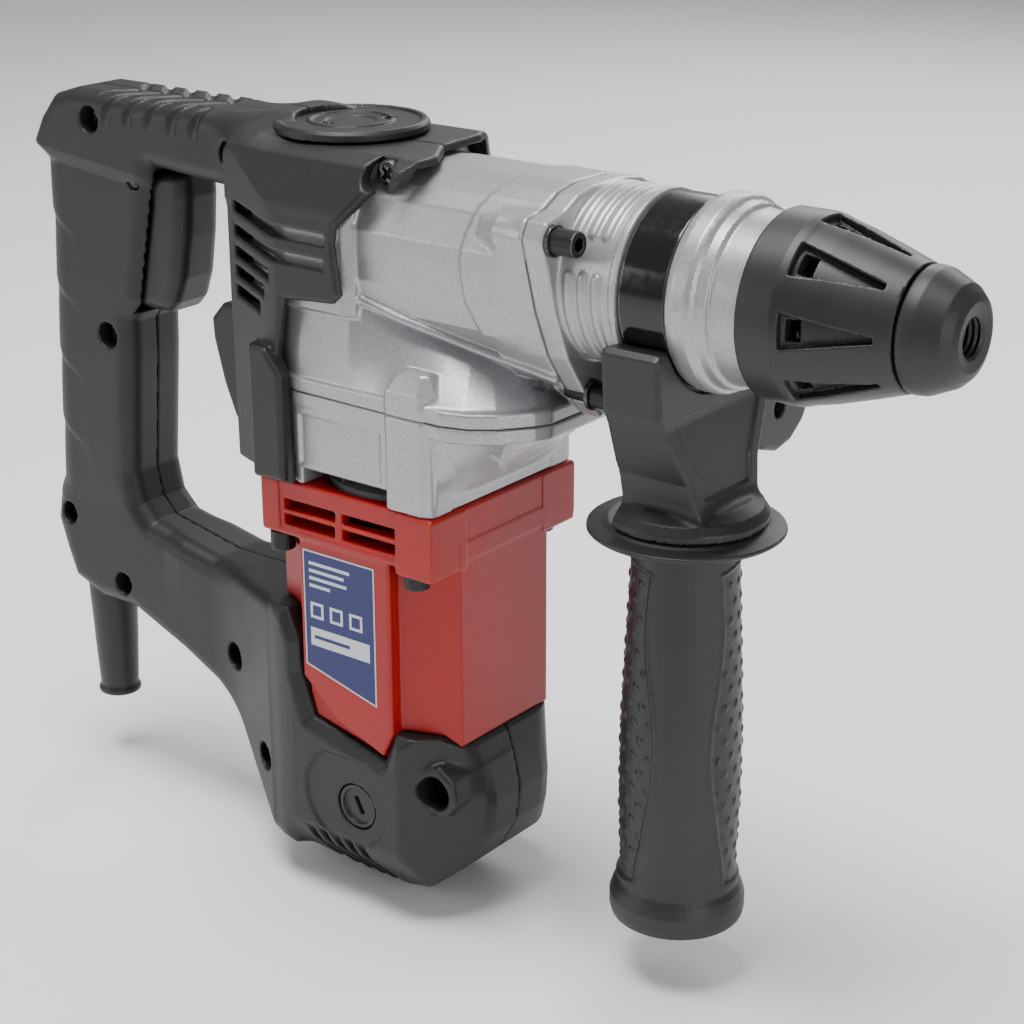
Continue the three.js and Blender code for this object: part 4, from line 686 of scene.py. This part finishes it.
def label_patch(name, corners, lift, material):
    """A flat four-sided patch on the panel, corners given as x and z, raised from it by lift."""
    edge = np.array([(x, -36.0 - lift, z) for x, z in corners])
    edge = np.concatenate([edge, edge + np.array((0, 0.09, 0))])
    faces = [(0, 1, 2, 3), (7, 6, 5, 4), (0, 4, 5, 1), (1, 5, 6, 2), (2, 6, 7, 3), (3, 7, 4, 0)]
    patch = surface(name, (edge + AXIS) * MM, faces)
    patch.data.polygons.foreach_set("use_smooth", np.zeros(6, bool))
    patch.data.materials.append(material)
    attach(patch, "housing")
    return patch


def label_box(name, x0, x1, z0, z1, lift, material):
    """A patch with level and upright sides."""
    label_patch(name, [(x0, z0), (x1, z0), (x1, z1), (x0, z1)], lift, material)


def label_ink(name, colour):
    """Gloss ink on foil, mottled slightly by the noise of the print and rubbed by handling."""
    material, shader = plain_material(name, colour, 0.22)
    tree = material.node_tree
    mottle = group_node(tree, grain, Size=700.0)
    lower = tuple(c * 0.86 for c in colour)
    tree.links.new(colour_mix(tree, mottle.outputs["Shade"], lower, colour), shader.inputs["Base Color"])
    finished(tree, shader, mottle, 0.14, 0.32, 0.15, 0.00002)
    return material


label_blue = label_ink("label_blue", (0.0012, 0.0085, 0.115))
label_white = label_ink("label_white", (0.62, 0.64, 0.67))
label_patch("label_border", [(-89.6, -141.2), (-59.1, -148.8), (-59.1, -100.3), (-89.6, -100.3)],
            0.12, label_white)
label_patch("label_field", [(-89.1, -140.7), (-59.6, -148.1), (-59.6, -100.8), (-89.1, -100.8)],
            0.16, label_blue)
for row, width in enumerate((17.5, 15.0, 16.2, 9.0)):
    top = -104.0 - 2.6 * row
    label_box(f"label_stroke_{row}", -87, -87 + width, top - 1.1, top, 0.20, label_white)
for mark, start in enumerate((-86.8, -78.4, -70.0)):
    label_box(f"label_mark_{mark}", start, start + 5.6, -123.8, -118.2, 0.20, label_white)
    label_box(f"label_mark_inside_{mark}", start + 1.0, start + 4.6, -122.8, -119.2, 0.24, label_blue)
label_box("label_number_field", -87, -61.5, -133.6, -127.2, 0.20, label_white)
label_box("label_number", -85.4, -70, -131.0, -129.8, 0.24, label_blue)

# ---- Front barrel --------------------------------------------------------------------
# A turned and cast aluminium barrel, painted like the gearbox and held on by four socket screws. Curved ribs
# with round ends stand on it between the screws.


def barrel_field(x, y, z):
    """The barrel's profile turned about X, the flange plate, and the short ribs bent round it."""
    r = np.hypot(y, z)
    flange = plate(outline(y, z, NOSE_FRONT), span(x, -1.7, 6), 1.2)
    profile = [(-1.5, 20), (-1.5, 26.4), (23.6, 26.5), (24.2, 27.5), (26.4, 27.5), (26.9, 25.4), (43.5, 25.4),
               (43.6, 27.6), (44.6, 28.6), (46.4, 29.1), (51.2, 29.1), (52.4, 28.4), (53.2, 27.2),
               (56.2, 26.9), (57.0, 25.5), (70, 25.3), (70, 16.5), (56, 16.5), (56, 21.3), (46, 21.3),
               (46, 23.2), (40, 20)]
    tube = outline(x, r, profile)
    angle = np.degrees(np.arctan2(z, y))
    for centre in (9.6, 14.4, 19.2):
        for low, high in ((38, 142), (-48, 10), (170, 228)):
            middle, half = (low + high) / 2, (high - low) / 2
            turn = np.abs((angle - middle + 180) % 360 - 180)
            beyond = np.clip(turn - half, 0, 90) * 0.46
            bead = np.hypot(np.hypot(x - centre, beyond), (r - 25.9) * 1.15) - 1.75
            tube = joined(tube, bead, 0.5)
    body = joined(tube, flange, 1.8)
    body = cut(body, np.maximum(r - BORE, x - 46), 0.3)
    for sy, sz in BARREL_SCREWS:
        away = np.hypot(y - sy, z - sz)
        body = cut(body, np.maximum(away - SCREW_HOLE, x - 9), 0.2)
        body = cut(body, np.maximum(away - 5.6, span(x, 6, 24)), 0.4)
    return body


moulded("barrel_casting", barrel_field, (-3.5, -37, -47.5), (72, 37, 31), 0.85, "housing", silver,
        "silver_paint", "front_barrel")

# ---- Locking sleeve and dust cap -----------------------------------------------------
# The sleeve is glass filled nylon: a plain ring, then eight flutes, each with a small window at its root. The
# dust cap is soft rubber with a bevelled nose.


def sleeve_field(x, y, z):
    """The sleeve's profile turned about X, less eight tapering flutes and eight windows."""
    r = np.hypot(y, z)
    profile = [(66, 26), (66, 26.9), (66.8, 27.7), (77.4, 27.7), (79.4, 27.2), (81, 26.6), (88, 24.9),
               (100, 21.2), (109.3, 18.1), (109.3, 13.4), (94, 13.4), (94, 16.8), (84, 18.8), (79, 20.5),
               (79, 26)]
    body = outline(x, r, profile)
    turn = (np.arctan2(z, y) / (math.pi / 4) + 0.5) % 1.0 - 0.5
    across = turn * r * math.pi / 4
    along = np.clip((x - 79.6) / 26.0, 0, 1)
    half = 4.6 * (1 - along) ** 1.1 + 0.7
    floor_r = 24.7 - 0.33 * (x - 79.6)
    flute = np.maximum(np.maximum((np.abs(across) - half) * 0.9, floor_r - r), span(x, 79.6, 104.5))
    body = cut(body, flute, 0.5)
    window = np.maximum(np.maximum(np.abs(across) - 3.1, 19.4 - r), span(x, 80.6, 84.6))
    return cut(body, window, 0.3)


def dust_cap_field(x, y, z):
    """The cap's profile turned about X, with fine rings in its mouth."""
    r = np.hypot(y, z)
    ripple = 0.35 * np.sin(x * 2 * math.pi / 1.8)
    profile = [(110, 10.8), (110, 17), (110.7, 17.8), (112, 17.8), (114.5, 17.5), (121.6, 14.3),
               (124.0, 12.0), (124.8, 9.8), (124.3, 6.4), (123.0, 5.0), (116.7, 5.0), (116.7, 10.8)]
    body = outline(x, r, profile) - 0.2
    return np.maximum(body, 5.75 + ripple - r)


sleeve_black = grained_plastic("sleeve_black", (0.0090, 0.0090, 0.0095), (0.0155, 0.0155, 0.0165),
                               (0.045, 0.045, 0.048), 0.44, 0.00004, 1900.0)
rubber_black = grained_plastic("rubber_black", (0.0080, 0.0080, 0.0085), (0.0135, 0.0135, 0.0140),
                               (0.032, 0.032, 0.033), 0.48, 0.00003, 2600.0)
moulded("locking_sleeve", sleeve_field, (64, -29.5, -29.5), (111, 29.5, 29.5), 0.7, "sleeve", sleeve_black,
        "shell_plastic", "chuck_sleeve")
moulded("nose_rubber", dust_cap_field, (108.5, -19.5, -19.5), (126, 19.5, 19.5), 0.6, "spindle", rubber_black,
        "soft_rubber", "dust_cap")

# ---- Clamp band and saddle of the side handle ----------------------------------------
# The band is a strip of steel in gloss black enamel, drawn tight round the barrel. The saddle is a solid
# nylon moulding that bears on the barrel with two cheeks. A wing on its left takes the depth stop.
HANDLE_X = 35.15                       # the side handle's axis
YOKE_VIEW = [(-32.4, -14), (-30.6, -12.5), (-26, -13), (26, -13), (30.6, -12.5), (32.4, -14), (31, -32),
             (19, -54), (16.4, -66), (-16.4, -66), (-19, -54), (-31, -32)]
YOKE_PANEL = [(-24, -33), (-14, -52), (-12, -60), (12, -60), (14, -52), (24, -33)]
FOOT_DISC = [(-71, -30), (-71, 25.2), (-68.8, 25.2), (-66.2, 23.4), (-64.0, 19.5), (-62.6, 14), (-62, -30)]
WING_VIEW = [(22, -24), (52, -29), (59, -32), (61.8, -38), (60, -46), (55, -54), (48, -59), (40, -60.5),
             (32, -58), (22, -50)]


def band_field(x, y, z):
    """A thin hoop with a gap at its foot."""
    hoop = plate(span(x, 27.3, 43), np.abs(np.hypot(y, z) - 26.4) - 0.6, 0.4)
    return np.maximum(hoop, -np.maximum(np.abs(y) - 3, z + 10))


def saddle_field(x, y, z):
    """The yoke's end view, tapered in thickness below, its disc, the wing and the seats cut in them."""
    r = np.hypot(y, z)
    yoke = plate(outline(y, z, YOKE_VIEW), np.abs(x - HANDLE_X) - 10.1 - 0.17 * np.clip(-36 - z, 0, 30), 1.6)
    # shallow curved panels on the front and rear faces
    sunk = plate(np.maximum(outline(y, z, YOKE_PANEL), 31.5 - r),
                 9.4 + 0.17 * np.clip(-36 - z, 0, 30) - np.abs(x - HANDLE_X), 0.4)
    yoke = cut(yoke, sunk, 0.6)
    body = joined(yoke, outline(z, np.hypot(x - HANDLE_X, y), FOOT_DISC), 3.0)
    body = joined(body, plate(outline(y, z, WING_VIEW), span(x, 34.15, 42.15), 2.0), 1.5)
    rooms = np.maximum(r - 27.3, span(x, 10, 60))
    rooms = with_room(rooms, r - 27.9, x - 27.3)
    rooms = with_room(rooms, r - 29.8, 43.3 - x)
    rooms = with_room(rooms, np.hypot(y - 40, z + 46) - 3.2)
    rooms = with_room(rooms, np.hypot(y - 54, z + 40) - 2.6)
    rooms = with_room(rooms, np.hypot(x - HANDLE_X, y) - 4.3, z + 20)
    rooms = with_room(rooms, span(x, 26.3, 44), np.abs(y) - 9, -z - 45)
    return cut(body, np.maximum(rooms, -80 - z), 0.4)


ENAMEL = (0.006, 0.006, 0.0065)
band_gloss, band_shader = plain_material("band_enamel", ENAMEL, 0.13, 0.0)
band_tree = band_gloss.node_tree
band_marks = group_node(band_tree, grain, Size=420.0)
band_edges = group_node(band_tree, edge_highlight_wear, Start=0.52, End=0.58)
# the proud edges of the enamel go grey: painted highlight and rub
band_colour = colour_mix(band_tree, band_edges.outputs["Mask"], ENAMEL, (0.20, 0.20, 0.20))
band_tree.links.new(band_colour, band_shader.inputs["Base Color"])
finished(band_tree, band_shader, band_marks, 0.08, 0.24, 0.12, 0.00003, (0.35, 0.7))
moulded("band_hoop", band_field, (25.5, -28.5, -28.5), (45, 28.5, 28.5), 0.6, "side_handle", band_gloss,
        "black_enamel", "clamp_band")
moulded("saddle_yoke", saddle_field, (23, -35, -73), (62, 64.5, -10.5), 0.85, "side_handle", sleeve_black,
        "shell_plastic", "handle_saddle")

# ---- Side grip -----------------------------------------------------------------------
# A hollow nylon grip with a hand guard. Two smooth strips run down it. Between them lie sunk fields of small
# round studs, each ringed by a raised line that waves along the strips and closes in a bow at the foot.


def grip_field(x, y, z):
    """The grip's profile turned about its axis, with the studded fields and their border lines."""
    dx = x - HANDLE_X
    r = np.hypot(dx, y)
    profile = [(-206.6, -30), (-206.6, 18.8), (-205.4, 21.0), (-203, 21.6), (-198.5, 21.6), (-195.5, 20.6),
               (-193.6, 19.4), (-186, 18.8), (-165, 19.5), (-140, 19.4), (-118, 18.5), (-92, 17.3),
               (-80, 17.0), (-77.6, 18.2), (-76.4, 22), (-75.2, 29.4), (-74.4, 30.4), (-73.4, 30.2),
               (-72.4, 26), (-71.3, 24), (-71.3, -30)]
    body = outline(z, r, profile)
    turn = (np.arctan2(y, dx) + math.radians(55.0)) % math.pi
    off = np.abs(turn - math.pi / 2)                      # zero in the middle of a studded field
    reach = 0.98 + 0.13 * np.sin((z + 80) / 13.5) - 0.10 * np.clip((-175 - z) / 12, 0, 1)
    field_edge = (off - reach) * 18.0
    lower = -188.0 - 3.4 * np.cos(np.clip(off, 0, 1.2) * 1.3)
    field_edge = np.maximum(field_edge, np.maximum(lower - z, z + 86.0 - 3.0 * np.cos(off * 1.5)))
    shaft = np.clip((-78 - z) / 2, 0, 1) * np.clip((z + 200) / 2, 0, 1)
    body = body + shaft * 0.45 * np.clip(0.5 - field_edge / 0.9, 0, 1)
    body = body - shaft * 0.55 * np.clip(1 - (field_edge / 1.0) ** 2, 0, 1)
    row = np.round(z / 5.6)
    shift = 0.5 * (row % 2)
    arc = (turn - math.pi / 2) * 19.0
    column = np.round(arc / 6.2 - shift) + shift
    stud = np.hypot(arc - column * 6.2, z - row * 5.6)
    body = body - shaft * 0.5 * np.sqrt(np.clip(1 - (stud / 1.4) ** 2, 0, 1)) * (field_edge < -2.0)
    return cut(body, np.maximum(r - 6.0, -119 - z), 0.4)


grip_black = grained_plastic("grip_black", (0.0100, 0.0100, 0.0105), (0.0170, 0.0170, 0.0180),
                             (0.048, 0.048, 0.050), 0.46, 0.00005, 1600.0)
moulded("grip_moulding", grip_field, (2.5, -32.5, -208.5), (68, 32.5, -69.5), 0.75, "grip", grip_black,
        "shell_plastic", "side_grip")

# ---- Cable boot, grease cap and brush caps -------------------------------------------
# Rubber bend protection for the cable, the screw-in lid over the crank with three pin holes, and the two
# slotted brush caps.


def boot_field(x, y, z):
    """The boot's profile turned about its axis, with rings cut nearly through on both sides."""
    r = np.hypot(x - BOOT_X, y)
    body = outline(z, r, [(-201.8, 5), (-201.8, 7.4), (-201.2, 8.1), (-199.8, 8.1), (-198.4, 7.2),
                          (-170.5, 8.6), (-156, 9.1), (-150.3, 9.1), (-150.3, 5)])
    return np.maximum(body + 0.12 * np.clip(np.cos((z + 204) * 2 * math.pi / 34), 0, 1), 5 - r)


def lid_field(x, y, z):
    """The lid: a bevelled disc with a raised ring and a sunk middle, on a threaded cup."""
    r = np.hypot(x - CAP_CENTRE[0], y)
    body = outline(r, z, [(-40, 21), (17, 21), (17, 30.8), (25.3, 30.8), (25.3, 32.8), (24.3, 34.0),
                          (-40, 34)])
    body = cut(body, plate(r - 22.2, 33.3 - z, 0.2), 0.3)
    body = joined(body, np.maximum(np.abs(r - 13.2) - 0.8, span(z, 32, 33.9)), 0.5)
    body = cut(body, np.maximum(r - 8, 32.9 - z), 0.4)
    for px, py in ((-99, -7), (-88, 10), (-118, 4)):
        body = cut(body, np.maximum(disc(x, y, px, py, 1.8), 30.5 - z), 0.3)
    return cut(body, np.maximum(r - 13, z - 28.5), 0.3)


def brush_cap_field(side):
    """The cap's field on one side."""
    def field(x, y, z):
        u = y * side
        r = np.hypot(x - BRUSH_PLACE[0], z - BRUSH_PLACE[1])
        cap = np.maximum(r - 6.4 - 1.3 * np.clip((u - 30.4) / 2.6, 0, 1), span(u, 30.4, 36.0))
        cap = cut(cap, plate(r - 6.3, 35.0 - u, 0.3), 0.4)
        slit = np.maximum(np.abs(x - BRUSH_PLACE[0] + 0.5 * (z - BRUSH_PLACE[1])) - 1.1, r - 3.2)
        return cut(cap, np.maximum(slit, 33.4 - u), 0.2)
    return field


moulded("boot_rubber", boot_field, (-234, -11, -203.5), (-212, 11, -148.5), 0.6, "housing", rubber_black,
        "soft_rubber", "cable_boot")
moulded("lid_disc", lid_field, (-123, -27.5, 19), (-68.5, 27.5, 36), 0.6, "housing", sleeve_black,
        "shell_plastic", "grease_cap")
for hand, side in (("right", -1), ("left", 1)):
    near, far = sorted((side * 28.6, side * 40.0))
    moulded(f"brush_lid_{hand}", brush_cap_field(side), (-79, near, -198), (-59, far, -178), 0.45, "housing",
            sleeve_black, "shell_plastic", f"brush_cap_{hand}")

# ---- Screws --------------------------------------------------------------------------
# Socket head screws in blackened steel: four hold the barrel, each on a washer, and four hold the motor
# housing. Small cross head screws lie deep in the wells of the right shell.


def screw_field(centre, axis, root, tip, head_from, head_r, washer=None):
    """A socket screw along an axis: its shank, its knurled head and a six-sided socket. Root and tip are
    where the shank and head end."""
    def field(x, y, z):
        place = [x, y, z]
        along = place.pop(axis)
        a, b = place[0] - centre[0], place[1] - centre[1]
        r = np.hypot(a, b)
        turn = np.arctan2(b, a)
        knurl = 0.05 * np.sin(turn * 30)
        way = 1.0 if tip > root else -1.0
        depth = (along - root) * way
        total, head = abs(tip - root), (head_from - root) * way
        body = np.maximum(r - 2.3, span(depth, 0, total - 1))
        body = np.minimum(body, plate(r - head_r - knurl, span(depth, head, total), 0.5))
        if washer:
            body = np.minimum(body, np.maximum(r - 4.8, span(depth, head - washer, head + 0.2)))
        six = r * np.cos((turn + math.pi / 6) % (math.pi / 3) - math.pi / 6) - 2.0
        return np.maximum(body, -np.maximum(six, total - 3.4 - depth))
    return field


def steel(name, colour, roughness, depth=0.00003, size=1500.0, highlight_and_wear=(0.5, 0.5, 0.5), metallic=0.9):
    """Bare or blackened metal: fine tool marks in bump and gloss, slow stains in colour, bright edges of
    painted highlight and rub.
    """
    material, shader = plain_material(name, colour, roughness, metallic)
    tree = material.node_tree
    marks = group_node(tree, grain, Size=size)
    edges = group_node(tree, edge_highlight_wear, Start=0.53, End=0.61)
    darker = tuple(c * 0.72 for c in colour)
    brighter = tuple(min(1, c * 1.2) for c in colour)
    stain = colour_mix(tree, marks.outputs["Shade"], darker, brighter)
    # the proud edges are lightened towards the edge colour: painted highlight and rub
    tree.links.new(colour_mix(tree, edges.outputs["Mask"], stain, highlight_and_wear), shader.inputs["Base Color"])
    finished(tree, shader, marks, roughness - 0.08, roughness + 0.10, 0.3, depth, (0.3, 0.7))
    return material


screw_black = steel("screw_black", (0.035, 0.035, 0.038), 0.33)
for k, (sy, sz) in enumerate(BARREL_SCREWS):
    moulded(f"barrel_bolt_{k + 1}", screw_field((sy, sz), 0, -3, 15.5, 7.4, 3.9, 1.1),
            (-4.5, sy - 6.2, sz - 6.2), (17, sy + 6.2, sz + 6.2), 0.45, "housing", screw_black,
            "black_screw_steel", f"barrel_screw_{k + 1}")
for k, (sx, sy) in enumerate(FLANGE_SCREWS):
    moulded(f"flange_bolt_{k + 1}", screw_field((sx, sy), 2, -64, -103.8, -97.3, 4.1),
            (sx - 5.5, sy - 5.5, -105.5), (sx + 5.5, sy + 5.5, -62.5), 0.45, "housing", screw_black,
            "black_screw_steel", f"flange_screw_{k + 1}")


def cross_field(wx, wz, seat, radius):
    """A pan head with a crossed recess, lying in a well of the right shell with its face towards -Y."""
    def field(x, y, z):
        a, b, u = x - wx, z - wz, -y
        r = np.hypot(a, b)
        head = plate(r - radius, span(u, seat - 1.6, seat + 1.4), 0.6)
        arms = np.minimum(np.maximum(np.abs(a + b) - 1.0, np.abs(a - b) - 3.6),
                          np.maximum(np.abs(a - b) - 1.0, np.abs(a + b) - 3.6))
        return cut(head, np.maximum(arms, seat + 0.2 - u), 0.2)
    return field


deep = [(wx, wz, depth, radius - 0.5) for wx, wz, radius, depth in RIGHT_WELLS]
for k, (wx, wz, seat, radius) in enumerate(deep + [(*DECK_SCREW, 24.8, 4.2), (-39.5, -176.5, 19.5, 4.4)]):
    head = moulded(f"shell_bolt_{k + 1}", cross_field(wx, wz, seat, radius), (wx - 6, -seat - 3, wz - 6),
                   (wx + 6, -seat + 3, wz + 6), 0.5, "housing", screw_black, "black_screw_steel")

# ---- Pieces kept as they were built --------------------------------------------------
# Bearings, shafts, gears, the piston and striker, the motor's iron, copper and brushes, and the switch.
# Each gets its own metal or plastic, with tool marks, stains, and bright edges of painted highlight and rub.
kept_look = {
    "tool_steel": steel("tool_steel", (0.46, 0.46, 0.47), 0.30, highlight_and_wear=(0.8, 0.8, 0.8)),
    "piston_alloy": steel("piston_alloy", (0.60, 0.60, 0.62), 0.34, highlight_and_wear=(0.85, 0.85, 0.86)),
    "copper": steel("winding_copper", (0.62, 0.24, 0.10), 0.30, 0.0002, 500.0, (0.8, 0.4, 0.2)),
    "brush_brass": steel("brush_brass", (0.62, 0.42, 0.14), 0.32, highlight_and_wear=(0.85, 0.66, 0.3)),
    "motor_iron": steel("motor_iron", (0.20, 0.20, 0.21), 0.45, 0.0002, 900.0),
    "fan_plastic": grained_plastic("fan_grey", (0.15, 0.15, 0.155), (0.20, 0.20, 0.205),
                                   (0.3, 0.3, 0.3), 0.5),
    "switch_plastic": grained_plastic("switch_black", (0.012, 0.012, 0.013), (0.02, 0.02, 0.021),
                                      (0.06, 0.06, 0.06), 0.35),
    "carbon": grained_plastic("brush_carbon", (0.01, 0.01, 0.01), (0.03, 0.03, 0.03),
                              (0.08, 0.08, 0.08), 0.55),
    "black_screw_steel": screw_black,
    "black_enamel": band_gloss,
    "shell_plastic": sleeve_black,
    "soft_rubber": rubber_black,
    "red_plastic": red_plastic,
    "silver_paint": silver,
}
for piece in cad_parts.values():
    look = kept_look[piece.data.materials[0].name.split(".")[0]]
    piece.data.materials.clear()
    piece.data.materials.append(look)
